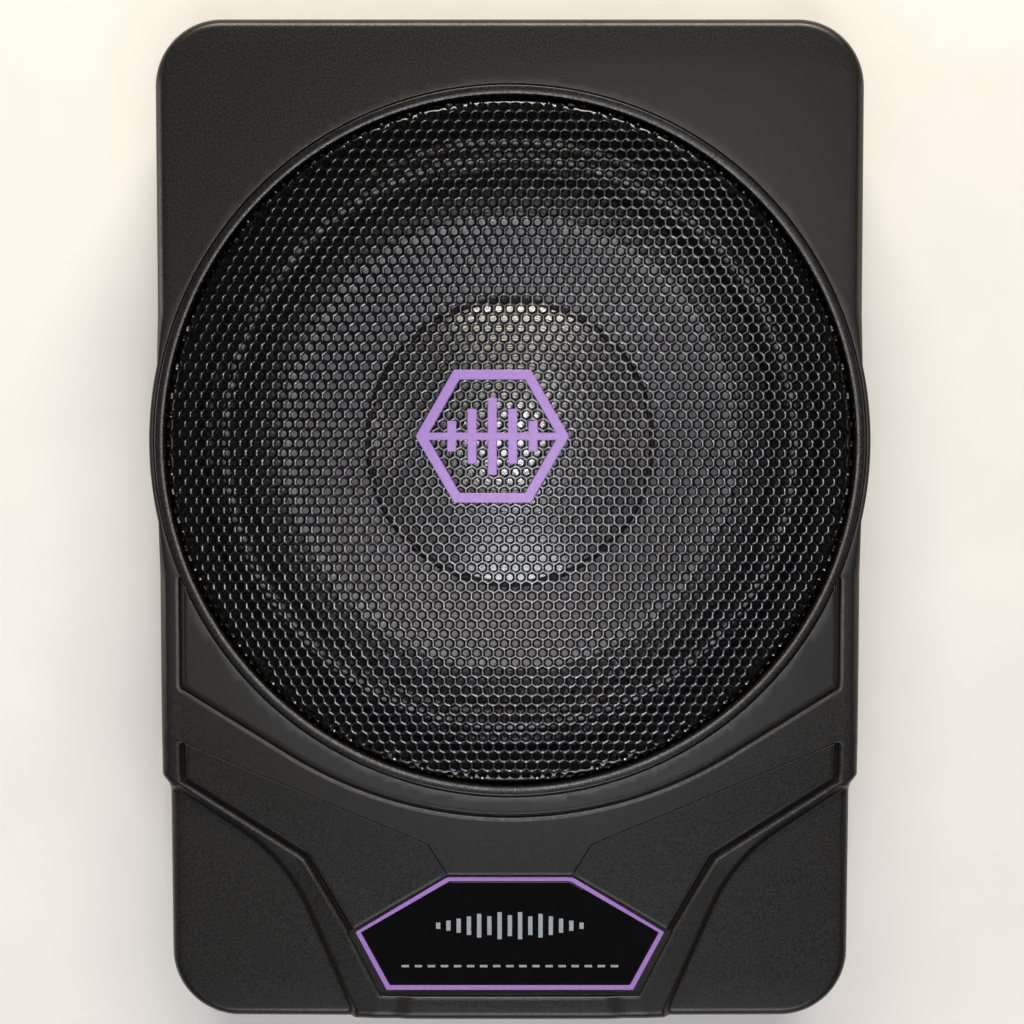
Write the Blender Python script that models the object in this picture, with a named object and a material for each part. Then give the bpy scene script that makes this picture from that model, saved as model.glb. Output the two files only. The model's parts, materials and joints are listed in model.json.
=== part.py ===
"""Powered under-seat car subwoofer: cast housing, ten-inch driver, amplifier and control end.

The frame has +Z up out of the grille, +Y away from the control end, and its origin on the surface that
the rubber feet stand on, below the middle of the housing. Dimensions are in millimetres, and MM turns
them into metres where a mesh is made.
"""

import math

import bmesh
import bpy
from mathutils import Vector

MM = 0.001
GAP = 0.3  # clearance between neighbouring pieces

# Housing
BODY_LENGTH = 349.4
BODY_HALF_WIDTH = 122.0
TAIL_HALF_WIDTH = 119.6
TAIL_STEP_Y = -88.8  # middle of the S-shaped step in the side walls
TAIL_STEP_REACH = 2.2
HEAD_CORNER_RADIUS = 23.0
TAIL_CORNER_RADIUS = 23.5
RIDGE_HALF_WIDTH = 55.5
RIDGE_PROUD = 0.3
HOUSING_BOTTOM_Z = 5.2
DECK_Z = 70.0
DECK_FILLET = 3.6
WALL = 3.0
CEILING_Z = 67.2
TAIL_CEILING_Z = 61.0
TAIL_SLOPE_START_Y = -95.0
TAIL_SLOPE = 2.0 / 78.0
CORNER_DROP = 2.9  # how far the tail corners lie below the ridge between them

# Round grille mouth and driver well
MOUTH_Y = 29.0
BULGE_RADIUS = 125.0
RING_SEAT_RADIUS = 123.1
RING_SEAT_Z = 64.0
WELL_RADIUS = 119.3
WELL_LEDGE_Z = 55.7
WELL_WALL = 3.0
LEDGE_THICKNESS = 4.0
DRIVER_HOLE_RADIUS = 108.0

# Trim grooves
FINE_GROOVE_WIDTH = 1.1
BROAD_GROOVE_WIDTH = 2.0
GROOVE_DEPTH = 1.6
GROOVE_X = 114.4
ARC_RADIUS = 145.0
ARC_HALF_CHORD = 76.0
ARC_BOTTOM_Y = -101.4

# Nameplate: six corners given by three rows of half width and y
PLATE_TOP = (21.8, -123.1)
PLATE_MIDDLE = (54.2, -142.9)
PLATE_BOTTOM = (43.4, -163.4)
PLATE_BORDER = 1.6
PLATE_BASE_Z = 66.0
PLATE_TOP_Z = 68.2
RECESS_MARGIN = 1.4
RECESS_MARGIN_LOW = 2.9

# Base
FOOT_RADIUS = 9.0
FOOT_HEIGHT = 1.7
FOOT_X = 92.0
FOOT_Y = 142.0
BASE_BOTTOM_Z = 2.0
BASE_THICKNESS = 1.6
BASE_INSET = 1.0
GASKET_BOTTOM_Z = 3.9
GASKET_THICKNESS = 1.0
BOSS_RADIUS = 4.6
SCREW_HOLE_RADIUS = 2.1
SCREW_RADIUS = 1.8
SCREW_HEAD_RADIUS = 3.6
SCREW_HEAD_Z = (0.5, 1.7)
SCREW_TIP_Z = 15.0
SCREW_PLACES = ((113.5, 145.0), (114.0, -70.0), (111.0, -138.0))

# Driver
DRIVER_SEGMENTS = 32
MOUTH_SEGMENTS = 60  # ring, grille and well keep the same facets, so their gaps stay even
FLANGE_RADIUS = 116.5
FLANGE_TOP_Z = 58.5
CONE_NECK_RADIUS = 25.4
CONE_RADIUS = 79.0
CONE_RIM_RADIUS = 90.5
CONE_NECK_Z = 47.6
CONE_THICKNESS = 0.8
CAP_RADIUS = 49.6
CAP_RIM_Z = 53.0
CAP_TOP_Z = 62.0
ROLL_CENTRE_RADIUS = 100.25
ROLL_HALF_WIDTH = 8.75
ROLL_HEIGHT = 7.2
RUBBER_THICKNESS = 0.8
SPIDER_Z = 40.0
SPIDER_RADIUS = 62.0
YOKE_BOTTOM_Z = 7.0
POLE_RADIUS = 24.0
MAGNET_RADIUS = 55.0
BASKET_WINDOWS = 6

# Control end
BAY_HALF_WIDTH = 98.0
BAY_Z = (9.0, 53.0)
BAY_DEPTH_Y = -163.3
PANEL_FRONT_Y = -163.0
PANEL_THICKNESS = 1.5
PANEL_HALF_WIDTH = 100.5
PANEL_Z = (6.5, 55.5)
HOLE_CLEARANCE = 0.4
RCA_PLACES = ((-58.0, 31.0), (-42.0, 31.0))
KNOB_PLACES = {"gain": -4.0, "crossover": 18.0, "bass_boost": 40.0}
KNOB_Z = 31.0
KNOB_RADIUS = 6.2
KNOB_LENGTH = 7.4
SWITCH_X = -24.0
SWITCH_PLACES = {"phase": 39.0, "auto_on": 22.0}
SLIDER_TRAVEL = 3.0
SLIDER_HALF = 1.25
HIGH_LEVEL_PLACE = (-82.0, 31.0)
POWER_PLACE = (79.0, 24.0)
REMOTE_PLACE = (57.0, 24.0)
FUSE_PLACE = (79.0, 40.0)
LIGHT_PLACE = (57.0, 40.0)

# Amplifier
BOARD_HALF_WIDTH = 100.0
BOARD_Y = (-157.0, -98.0)
BOARD_Z = (12.0, 13.6)
BOARD_TOP_Z = BOARD_Z[1] + GAP
PILLAR_PLACES = ((92.0, -150.0), (92.0, -104.0))


def clear_scene():
    for old in list(bpy.data.objects):
        bpy.data.objects.remove(old, do_unlink=True)


def finish(name, colour, roughness, metallic=0.0):
    """A Principled material with a plain colour."""
    made = bpy.data.materials.new(name)
    made.use_nodes = True
    shader = made.node_tree.nodes["Principled BSDF"]
    shader.inputs["Base Color"].default_value = (*colour, 1.0)
    shader.inputs["Roughness"].default_value = roughness
    shader.inputs["Metallic"].default_value = metallic
    return made


# Mesh helpers: loops and profiles are in millimetres


def to_object(name, bm, material, smooth=False):
    bmesh.ops.recalc_face_normals(bm, faces=bm.faces)
    mesh = bpy.data.meshes.new(name)
    bm.to_mesh(mesh)
    bm.free()
    mesh.materials.append(material)
    if smooth:
        mesh.shade_smooth()
        mesh.set_sharp_from_angle(angle=math.radians(35))
    made = bpy.data.objects.new(name, mesh)
    bpy.context.collection.objects.link(made)
    return made


def loft(name, loops, material):
    """A closed solid through loops of equal length, capped at both ends."""
    bm = bmesh.new()
    rows = [[bm.verts.new(Vector(point) * MM) for point in loop] for loop in loops]
    count = len(rows[0])
    for low, high in zip(rows, rows[1:]):
        for i in range(count):
            j = (i + 1) % count
            bm.faces.new((low[i], low[j], high[j], high[i]))
    bm.faces.new(list(reversed(rows[0])))
    bm.faces.new(rows[-1])
    return to_object(name, bm, material)


def at_height(outline, z):
    return [(x, y, z) for x, y in outline]


def prism(name, outline, z_low, z_high, material):
    return loft(name, [at_height(outline, z_low), at_height(outline, z_high)], material)


def box(name, low, high, material):
    (x0, y0, z0), (x1, y1, z1) = low, high
    outline = [(x0, y0), (x1, y0), (x1, y1), (x0, y1)]
    return prism(name, outline, z0, z1, material)


def turned(name, profile, material, segments=32, centre=(0.0, 0.0)):
    """A solid of revolution about a vertical axis from a closed (radius, z) profile.

    A profile that starts and ends on the axis has single points there.
    """
    bm = bmesh.new()
    rows = []
    for radius, z in profile:
        if radius == 0.0:
            rows.append([bm.verts.new(Vector((centre[0], centre[1], z)) * MM)] * segments)
            continue
        ring = []
        for i in range(segments):
            angle = 2.0 * math.pi * i / segments
            x = centre[0] + radius * math.cos(angle)
            y = centre[1] + radius * math.sin(angle)
            ring.append(bm.verts.new(Vector((x, y, z)) * MM))
        rows.append(ring)
    on_axis = profile[0][0] == 0.0
    pairs = list(zip(rows, rows[1:]))
    if not on_axis:
        pairs.append((rows[-1], rows[0]))
    for a, b in pairs:
        for i in range(segments):
            j = (i + 1) % segments
            corners = [a[i], a[j], b[j], b[i]]
            corners = list(dict.fromkeys(corners))
            bm.faces.new(corners)
    return to_object(name, bm, material, smooth=True)


def facing_out(obj, place):
    """Turns a piece made along +Z so that it points out of the control panel at (x, z)."""
    obj.rotation_euler = (math.radians(90), 0.0, 0.0)
    obj.location = Vector((place[0], PANEL_FRONT_Y, place[1])) * MM
    return obj


def combine(obj, helper, operation):
    """Cuts a helper away from an object or joins it on, and hides the helper."""
    helper.hide_render = True
    helper.display_type = "WIRE"
    modifier = obj.modifiers.new(helper.name, "BOOLEAN")
    modifier.operation = operation
    modifier.object = helper
    modifier.solver = "EXACT"
    return obj


def cut(obj, helper):
    return combine(obj, helper, "DIFFERENCE")


def join(obj, helper):
    return combine(obj, helper, "UNION")


def helper_material():
    return finish("helper", (0.5, 0.5, 0.5), 0.5)


# Plan outlines


def arc(centre, radius, start, end, steps):
    """Points on an arc, angles in degrees, both ends included."""
    points = []
    for i in range(steps + 1):
        angle = math.radians(start + (end - start) * i / steps)
        points.append((centre[0] + radius * math.cos(angle), centre[1] + radius * math.sin(angle)))
    return points


def mirrored(half):
    """A whole outline from its right half, which runs from the bottom middle to the top middle."""
    left = [(-x, y) for x, y in reversed(half) if x > 0.0]
    return half + left


def body_outline():
    """The housing seen from above, counter-clockwise."""
    end = -BODY_LENGTH / 2
    head = BODY_LENGTH / 2
    corner_y = end + RIDGE_PROUD
    bulge_angle = math.degrees(math.acos(BODY_HALF_WIDTH / BULGE_RADIUS))
    half = [(0.0, end), (RIDGE_HALF_WIDTH, end), (RIDGE_HALF_WIDTH + 2.0, corner_y)]
    tail_corner = (TAIL_HALF_WIDTH - TAIL_CORNER_RADIUS, corner_y + TAIL_CORNER_RADIUS)
    half += arc(tail_corner, TAIL_CORNER_RADIUS, -90, 0, 6)
    step = BODY_HALF_WIDTH - TAIL_HALF_WIDTH
    half += [(TAIL_HALF_WIDTH, TAIL_STEP_Y - TAIL_STEP_REACH)]
    half += [(TAIL_HALF_WIDTH + 0.25 * step, TAIL_STEP_Y - 0.4 * TAIL_STEP_REACH)]
    half += [(TAIL_HALF_WIDTH + 0.75 * step, TAIL_STEP_Y + 0.4 * TAIL_STEP_REACH)]
    half += [(BODY_HALF_WIDTH, TAIL_STEP_Y + TAIL_STEP_REACH)]
    half += arc((0.0, MOUTH_Y), BULGE_RADIUS, -bulge_angle, bulge_angle, 6)
    head_corner = (BODY_HALF_WIDTH - HEAD_CORNER_RADIUS, head - HEAD_CORNER_RADIUS)
    half += arc(head_corner, HEAD_CORNER_RADIUS, 0, 90, 6)
    half += [(0.0, head)]
    return mirrored(half)


def inset(outline, distance):
    """An outline moved inwards by a distance, with mitred corners."""
    count = len(outline)
    moved = []
    for i in range(count):
        here = Vector(outline[i])
        before = (here - Vector(outline[i - 1])).normalized()
        after = (Vector(outline[(i + 1) % count]) - here).normalized()
        normal = Vector((-before.y - after.y, before.x + after.x)).normalized()
        stretch = max(0.5, normal.dot(Vector((-before.y, before.x))))
        moved.append(tuple(here + normal * distance / stretch))
    return moved


def plate_outline(grow=0.0, grow_low=None):
    """The nameplate's hexagon, grown outwards on its upper sides and, if given, more on its lower ones."""
    low = grow if grow_low is None else grow_low
    half = [
        (0.0, PLATE_BOTTOM[1] - low),
        (PLATE_BOTTOM[0] + 0.7 * low, PLATE_BOTTOM[1] - low),
        (PLATE_MIDDLE[0] + 0.55 * (grow + low), PLATE_MIDDLE[1] + 0.25 * (grow - low)),
        (PLATE_TOP[0] + 0.4 * grow, PLATE_TOP[1] + grow),
        (0.0, PLATE_TOP[1] + grow),
    ]
    return mirrored(half)


def deck_height(y):
    """Height of the top surface, which falls gently from the fine groove to the control end."""
    return DECK_Z - TAIL_SLOPE * max(0.0, TAIL_SLOPE_START_Y - y)


def ribbon(name, points, width, material):
    """A cutter with a rectangular section that follows a line just below the top surface."""
    rows = []
    for i, point in enumerate(points):
        here = Vector(point)
        before = (here - Vector(points[i - 1])).normalized() if i else None
        after = (Vector(points[i + 1]) - here).normalized() if i + 1 < len(points) else None
        along = before or after
        mean = ((before or along) + (after or along)).normalized()
        side = Vector((-mean.y, mean.x)) * width / 2 / mean.dot(along)
        left = here + side
        right = here - side
        floor = deck_height(here.y) - GROOVE_DEPTH
        top = DECK_Z + 5.0
        rows.append([(*left, floor), (*right, floor), (*right, top), (*left, top)])
    return loft(name, rows, material)


# Housing


def fine_groove_line():
    centre_y = ARC_BOTTOM_Y + ARC_RADIUS
    half_angle = math.degrees(math.asin(ARC_HALF_CHORD / ARC_RADIUS))
    sweep = arc((0.0, centre_y), ARC_RADIUS, -90 - half_angle, -90 + half_angle, 8)
    rise = (GROOVE_X - ARC_HALF_CHORD) * math.tan(math.radians(half_angle))
    corner_y = sweep[0][1] + rise
    start_y = -18.0
    return [
        (-GROOVE_X, start_y),
        (-GROOVE_X, corner_y),
        *sweep,
        (GROOVE_X, corner_y),
        (GROOVE_X, start_y),
    ]


def broad_groove_line(side):
    points = [(GROOVE_X, -76.6), (GROOVE_X, -88.9), (71.3, -116.1), (56.0, -140.0), (50.0, -152.0)]
    return [(side * x, y) for x, y in points]


def corner_cutter(side, material):
    """The space above a lowered tail corner, whose flank leans out towards the top."""
    foot = [(130.0, -86.0), (102.9, -100.4), (81.8, -117.6), (71.0, -133.8), (66.9, -144.5), (54.0, -178.0)]
    brow = [(130.0, -81.0), (107.5, -95.6), (77.5, -114.6), (66.2, -129.0), (60.5, -141.0), (49.0, -178.0)]
    outside = [(100.0, -200.0), (150.0, -175.0)]
    low, high = [], []
    for x, y in foot + outside:
        low.append((side * x, y, DECK_Z - CORNER_DROP - TAIL_SLOPE * (TAIL_SLOPE_START_Y - y)))
    for x, y in brow + outside:
        high.append((side * x, y, DECK_Z + 0.3))
    return loft("corner_cutter", [low, high], material)


def slope_cutter(material):
    start = TAIL_SLOPE_START_Y + 30.0
    end = -BODY_LENGTH / 2 - 20.0
    rise = DECK_Z + 30.0 * TAIL_SLOPE
    fall = deck_height(end)
    side = [(start, rise), (start, DECK_Z + 10.0), (end, DECK_Z + 10.0), (end, fall)]
    left = [(-140.0, y, z) for y, z in side]
    right = [(140.0, y, z) for y, z in side]
    return loft("slope_cutter", [left, right], material)


def cavity_cutter(material):
    """The hollow inside: low under the tail, high beside the driver well, less well, bosses and collar."""
    outline = body_outline()
    cavity = prism("cavity_cutter", inset(outline, WALL), -5.0, TAIL_CEILING_Z, material)
    head = prism("head_cavity", inset(outline, WALL + 0.3), TAIL_CEILING_Z - 3.0, CEILING_Z, material)
    cut(head, box("tail_keeper", (-130, -180, 55), (130, -92, 75), material))
    join(cavity, head)
    bottom = WELL_LEDGE_Z - LEDGE_THICKNESS
    radius = WELL_RADIUS + WELL_WALL
    well = [(0.0, bottom), (radius, bottom), (radius, 80.0), (0.0, 80.0)]
    cut(cavity, turned("well_keeper", well, material, 40, (0.0, MOUTH_Y)))
    for number, place in enumerate(screw_places(), 1):
        boss = [(0.0, -10.0), (BOSS_RADIUS, -10.0), (BOSS_RADIUS, 80.0), (0.0, 80.0)]
        cut(cavity, turned(f"boss_{number}", boss, material, 10, place))
    collar_low = (-BAY_HALF_WIDTH - WALL, -180.0, -10.0)
    collar_high = (BAY_HALF_WIDTH + WALL, BAY_DEPTH_Y, BAY_Z[1] + WALL)
    cut(cavity, box("collar_keeper", collar_low, collar_high, material))
    return cavity


def screw_places():
    return [(side * x, y) for x, y in SCREW_PLACES for side in (1, -1)]


def make_housing(material):
    helper = helper_material()
    outline = body_outline()
    loops = [
        at_height(outline, HOUSING_BOTTOM_Z),
        at_height(outline, DECK_Z - DECK_FILLET),
        at_height(inset(outline, 0.3), DECK_Z - 0.5 * DECK_FILLET),
        at_height(inset(outline, 0.9), DECK_Z - 0.15 * DECK_FILLET),
        at_height(inset(outline, 1.6), DECK_Z),
    ]
    housing = loft("top_housing", loops, material)
    cut(housing, cavity_cutter(helper))
    well = [
        (0.0, 40.0),
        (DRIVER_HOLE_RADIUS, 40.0),
        (DRIVER_HOLE_RADIUS, WELL_LEDGE_Z),
        (WELL_RADIUS, WELL_LEDGE_Z),
        (WELL_RADIUS, RING_SEAT_Z),
        (RING_SEAT_RADIUS, RING_SEAT_Z),
        (RING_SEAT_RADIUS, DECK_Z + 10.0),
        (0.0, DECK_Z + 10.0),
    ]
    cut(housing, turned("well_cutter", well, helper, MOUTH_SEGMENTS, (0.0, MOUTH_Y)))
    cut(housing, slope_cutter(helper))
    for side in (1, -1):
        cut(housing, corner_cutter(side, helper))
        cut(housing, ribbon("broad_groove", broad_groove_line(side), BROAD_GROOVE_WIDTH, helper))
    cut(housing, ribbon("fine_groove", fine_groove_line(), FINE_GROOVE_WIDTH, helper))
    recess = plate_outline(RECESS_MARGIN, RECESS_MARGIN_LOW)
    cut(housing, prism("plate_recess", recess, PLATE_BASE_Z - GAP, DECK_Z + 5.0, helper))
    opening_low = (-BAY_HALF_WIDTH, -190.0, BAY_Z[0])
    opening_high = (BAY_HALF_WIDTH, BAY_DEPTH_Y + 5.0, BAY_Z[1])
    cut(housing, box("bay_cutter", opening_low, opening_high, helper))
    for number, place in enumerate(screw_places(), 1):
        hole = [(0.0, -3.0), (SCREW_HOLE_RADIUS, -3.0), (SCREW_HOLE_RADIUS, 20.0), (0.0, 20.0)]
        cut(housing, turned(f"screw_hole_{number}", hole, helper, 8, place))
    return housing


def make_base(steel, foam, rubber, screw_steel):
    helper = helper_material()
    outline = inset(body_outline(), BASE_INSET)
    plate = prism("base_plate", outline, BASE_BOTTOM_Z, BASE_BOTTOM_Z + BASE_THICKNESS, steel)
    for x, y in PILLAR_PLACES:
        for side in (1, -1):
            profile = [(0.0, BASE_BOTTOM_Z + 0.5), (5.5, BASE_BOTTOM_Z + 0.5), (3.6, BOARD_Z[0] - GAP)]
            profile.append((0.0, BOARD_Z[0] - GAP))
            join(plate, turned("board_pillar", profile, helper, 8, (side * x, y)))
    for place in screw_places():
        hole = [(0.0, -3.0), (SCREW_HOLE_RADIUS, -3.0), (SCREW_HOLE_RADIUS, 4.5), (0.0, 4.5)]
        cut(plate, turned("plate_hole", hole, helper, 8, place))
    gasket_top = GASKET_BOTTOM_Z + GASKET_THICKNESS
    gasket = prism("base_gasket", inset(body_outline(), 1.2), GASKET_BOTTOM_Z, gasket_top, foam)
    hollow = prism("gasket_hollow", inset(body_outline(), 2.9), GASKET_BOTTOM_Z - 2, gasket_top + 2, helper)
    cut(gasket, hollow)
    for number, (x, y) in enumerate([(1, 1), (-1, 1), (1, -1), (-1, -1)], 1):
        profile = [(0.0, 0.0), (FOOT_RADIUS - 0.6, 0.0), (FOOT_RADIUS, 0.6), (FOOT_RADIUS, FOOT_HEIGHT)]
        profile.append((0.0, FOOT_HEIGHT))
        turned(f"rubber_foot_{number}", profile, rubber, 16, (x * FOOT_X, y * FOOT_Y))
    for number, place in enumerate(screw_places(), 1):
        low, high = SCREW_HEAD_Z
        profile = [(0.0, low), (SCREW_HEAD_RADIUS - 0.7, low), (SCREW_HEAD_RADIUS, high)]
        profile += [(SCREW_RADIUS, high), (SCREW_RADIUS, SCREW_TIP_Z - 1.0), (0.0, SCREW_TIP_Z)]
        turned(f"base_screw_{number}", profile, screw_steel, 8, place)


def make_grille(black, black_ring, purple):
    ring = [(119.6, 64.3), (122.7, 64.3), (122.7, 70.7), (121.5, 72.1), (120.0, 72.6), (119.6, 72.2)]
    turned("grille_ring", ring, black_ring, MOUTH_SEGMENTS, (0.0, MOUTH_Y))
    outer = [(0.0, 72.4), (60.0, 72.1), (112.0, 71.0), (117.4, 68.4), (119.2, 64.4)]
    inner = [(118.3, 64.4), (116.7, 67.8), (111.8, 70.2), (60.0, 71.3), (0.0, 71.6)]
    turned("grille", outer + inner, black, MOUTH_SEGMENTS, (0.0, MOUTH_Y))
    make_badge(purple)


def make_badge(material):
    """A hexagonal ring with five level bars inside, held together by a bar across the middle."""
    centre = (-6.0, 31.5)
    radius = 26.5
    band = 4.0
    z_low, z_high = 72.7, 74.0
    outer = [(x + centre[0], y + centre[1]) for x, y in arc((0, 0), radius, 0, 300, 5)]
    inner = [(x + centre[0], y + centre[1]) for x, y in arc((0, 0), radius - band, 0, 300, 5)]
    badge = prism("grille_badge", outer, z_low, z_high, material)
    helper = helper_material()
    window = prism("badge_window", inner, z_low - 2, z_high + 2, helper)
    for number, height in enumerate((5.3, 9.5, 13.3, 9.5, 5.3), -2):
        x = centre[0] + number * 7.0
        low = (x - 1.6, centre[1] - height, z_low - 3)
        high = (x + 1.6, centre[1] + height, z_high + 3)
        cut(window, box("badge_bar", low, high, helper))
    low = (centre[0] - radius, centre[1] - 1.3, z_low - 4)
    high = (centre[0] + radius, centre[1] + 1.3, z_high + 4)
    cut(window, box("badge_cross", low, high, helper))
    cut(badge, window)


def make_nameplate(gloss, purple):
    helper = helper_material()
    prism("nameplate", plate_outline(-PLATE_BORDER - GAP), PLATE_BASE_Z, PLATE_TOP_Z, gloss)
    border = prism("nameplate_border", plate_outline(), PLATE_BASE_Z, PLATE_TOP_Z + 0.3, purple)
    hollow = prism("border_hollow", plate_outline(-PLATE_BORDER), PLATE_BASE_Z - 2, PLATE_TOP_Z + 3, helper)
    cut(border, hollow)


# Driver


def turned_driver(name, profile, material, segments=DRIVER_SEGMENTS):
    return turned(name, profile, material, segments, (0.0, MOUTH_Y))


def tube_profile(inner, outer, z_low, z_high):
    return [(inner, z_low), (outer, z_low), (outer, z_high), (inner, z_high)]


def make_basket(steel):
    profile = [
        (FLANGE_RADIUS, 56.0),
        (FLANGE_RADIUS, FLANGE_TOP_Z),
        (105.0, FLANGE_TOP_Z),
        (102.5, 56.4),
        (66.0, 41.6),
        (63.0, SPIDER_Z - GAP),
        (50.5, SPIDER_Z - GAP),
        (50.5, 35.4),
        (30.0, 35.4),
        (30.0, 33.9),
        (52.0, 33.9),
        (52.0, 38.2),
        (66.6, 40.1),
        (104.0, 54.8),
        (105.6, 56.0),
    ]
    basket = turned_driver("basket", profile, steel)
    helper = helper_material()
    for i in range(BASKET_WINDOWS):
        middle = 360.0 * i / BASKET_WINDOWS
        outer = arc((0.0, MOUTH_Y), 99.0, middle - 19, middle + 19, 4)
        inner = arc((0.0, MOUTH_Y), 69.0, middle + 17, middle - 17, 2)
        cut(basket, prism(f"basket_window_{i}", outer + inner, 30.0, 57.0, helper))


def make_surround(rubber, foam):
    """A half-roll of rubber between two flat lips, and the foam ring that clamps the outer lip."""
    base = FLANGE_TOP_Z + GAP
    over, under = [], []
    for i in range(6):
        angle = math.pi * i / 5
        swing = -math.cos(angle)
        lift = math.sin(angle)
        over.append((ROLL_CENTRE_RADIUS + ROLL_HALF_WIDTH * swing,
                     base + RUBBER_THICKNESS + ROLL_HEIGHT * lift))
        under.append((ROLL_CENTRE_RADIUS + (ROLL_HALF_WIDTH - RUBBER_THICKNESS) * swing,
                      base + ROLL_HEIGHT * lift))
    top = [(80.5, base + RUBBER_THICKNESS), *over, (115.0, base + RUBBER_THICKNESS)]
    bottom = [(115.0, base), *reversed(under), (80.5, base)]
    turned_driver("surround", top + bottom, rubber)
    low = base + RUBBER_THICKNESS + GAP
    turned_driver("driver_gasket", tube_profile(109.9, FLANGE_RADIUS, low, low + 2.2), foam)


def make_cone(paper, cap_metal):
    rim_z = FLANGE_TOP_Z
    profile = [
        (CONE_NECK_RADIUS, CONE_NECK_Z),
        (CONE_RADIUS, rim_z),
        (CONE_RIM_RADIUS, rim_z),
        (CONE_RIM_RADIUS, rim_z - CONE_THICKNESS),
        (CONE_RADIUS + 0.3, rim_z - CONE_THICKNESS),
        (CONE_NECK_RADIUS, CONE_NECK_Z - CONE_THICKNESS),
    ]
    turned_driver("cone", profile, paper)
    rise = CAP_TOP_Z - CAP_RIM_Z
    sphere = (CAP_RADIUS**2 + rise**2) / (2 * rise)
    steps = 4
    outer, inner = [], []
    for i in range(steps + 1):
        radius = CAP_RADIUS * i / steps
        z = CAP_TOP_Z - sphere + math.sqrt(sphere**2 - radius**2)
        outer.append((radius, z))
        inner.append((radius * 0.985, z - 0.6))
    inner[-1] = (inner[-1][0], CAP_RIM_Z - 0.02)
    turned_driver("dust_cap", outer + list(reversed(inner)), cap_metal)


def make_motor(former_film, copper, cloth, steel, ferrite):
    turned_driver("voice_coil_former", tube_profile(24.7, 25.1, 21.5, 52.0), former_film, 24)
    turned_driver("voice_coil_winding", tube_profile(25.4, 26.3, 24.0, 36.0), copper, 24)
    upper = [(25.4, SPIDER_Z + 0.8), (28.5, SPIDER_Z + 0.8)]
    lower = [(25.4, SPIDER_Z), (28.5, SPIDER_Z)]
    for i in range(5):
        wave = 0.8 if i % 2 == 0 else -0.4
        upper.append((32.0 + 4.0 * i, SPIDER_Z + 0.8 + wave))
        lower.append((32.0 + 4.0 * i, SPIDER_Z + wave))
    upper += [(51.5, SPIDER_Z + 0.8), (SPIDER_RADIUS, SPIDER_Z + 0.8)]
    lower += [(51.5, SPIDER_Z), (SPIDER_RADIUS, SPIDER_Z)]
    turned_driver("spider", upper + list(reversed(lower)), cloth, 28)
    turned_driver("top_plate", tube_profile(27.3, 52.0, 27.6, 33.6), steel)
    turned_driver("magnet", tube_profile(30.0, MAGNET_RADIUS, 13.3, 27.3), ferrite)
    yoke = [
        (6.0, YOKE_BOTTOM_Z),
        (50.0, YOKE_BOTTOM_Z),
        (50.0, 13.0),
        (POLE_RADIUS, 13.0),
        (POLE_RADIUS, 36.0),
        (6.0, 36.0),
    ]
    turned_driver("yoke", yoke, steel)


def curve_tube(name, points, radius, material, resolution=2):
    curve = bpy.data.curves.new(name, "CURVE")
    curve.dimensions = "3D"
    curve.bevel_depth = radius * MM
    curve.bevel_resolution = resolution
    curve.use_fill_caps = True
    spline = curve.splines.new("POLY")
    spline.points.add(len(points) - 1)
    for target, point in zip(spline.points, points):
        target.co = (*(Vector(point) * MM), 1.0)
    curve.materials.append(material)
    made = bpy.data.objects.new(name, curve)
    bpy.context.collection.objects.link(made)
    return made


def smooth_path(points, steps):
    """Catmull-Rom points through a few chosen ones."""
    ends = [Vector(points[0]) * 2 - Vector(points[1])]
    known = ends + [Vector(p) for p in points] + [Vector(points[-1]) * 2 - Vector(points[-2])]
    path = []
    for a, b, c, d in zip(known, known[1:], known[2:], known[3:]):
        for i in range(steps):
            t = i / steps
            path.append(0.5 * (2 * b + (c - a) * t + (2 * a - 5 * b + 4 * c - d) * t**2
                               + (3 * b - a - 3 * c + d) * t**3))
    path.append(Vector(points[-1]))
    return path


def make_leads(plastic, braid, black_cable):
    box("driver_terminal", (-20.5, -54.0, 33.0), (20.5, -45.0, 41.2), plastic)
    for number, side in enumerate((1, -1), 1):
        route = [
            (side * 18.5, -48.0, 41.5),
            (side * 18.5, -46.5, 44.6),
            (side * 17.0, -38.0, 46.8),
            (side * 14.0, -28.0, 46.2),
            (side * 11.5, -21.0, 47.0),
            (side * 10.5, -17.5, 49.6),
        ]
        curve_tube(f"tinsel_lead_{number}", smooth_path(route, 2), 0.6, braid)
    route = [
        (44.0, -98.5, 16.6),
        (40.0, -92.0, 17.0),
        (32.0, -82.0, 21.0),
        (20.0, -70.0, 28.0),
        (9.0, -60.0, 34.5),
        (6.0, -56.0, 36.5),
    ]
    curve_tube("speaker_cable", smooth_path(route, 2), 1.7, black_cable)


# Amplifier


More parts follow.
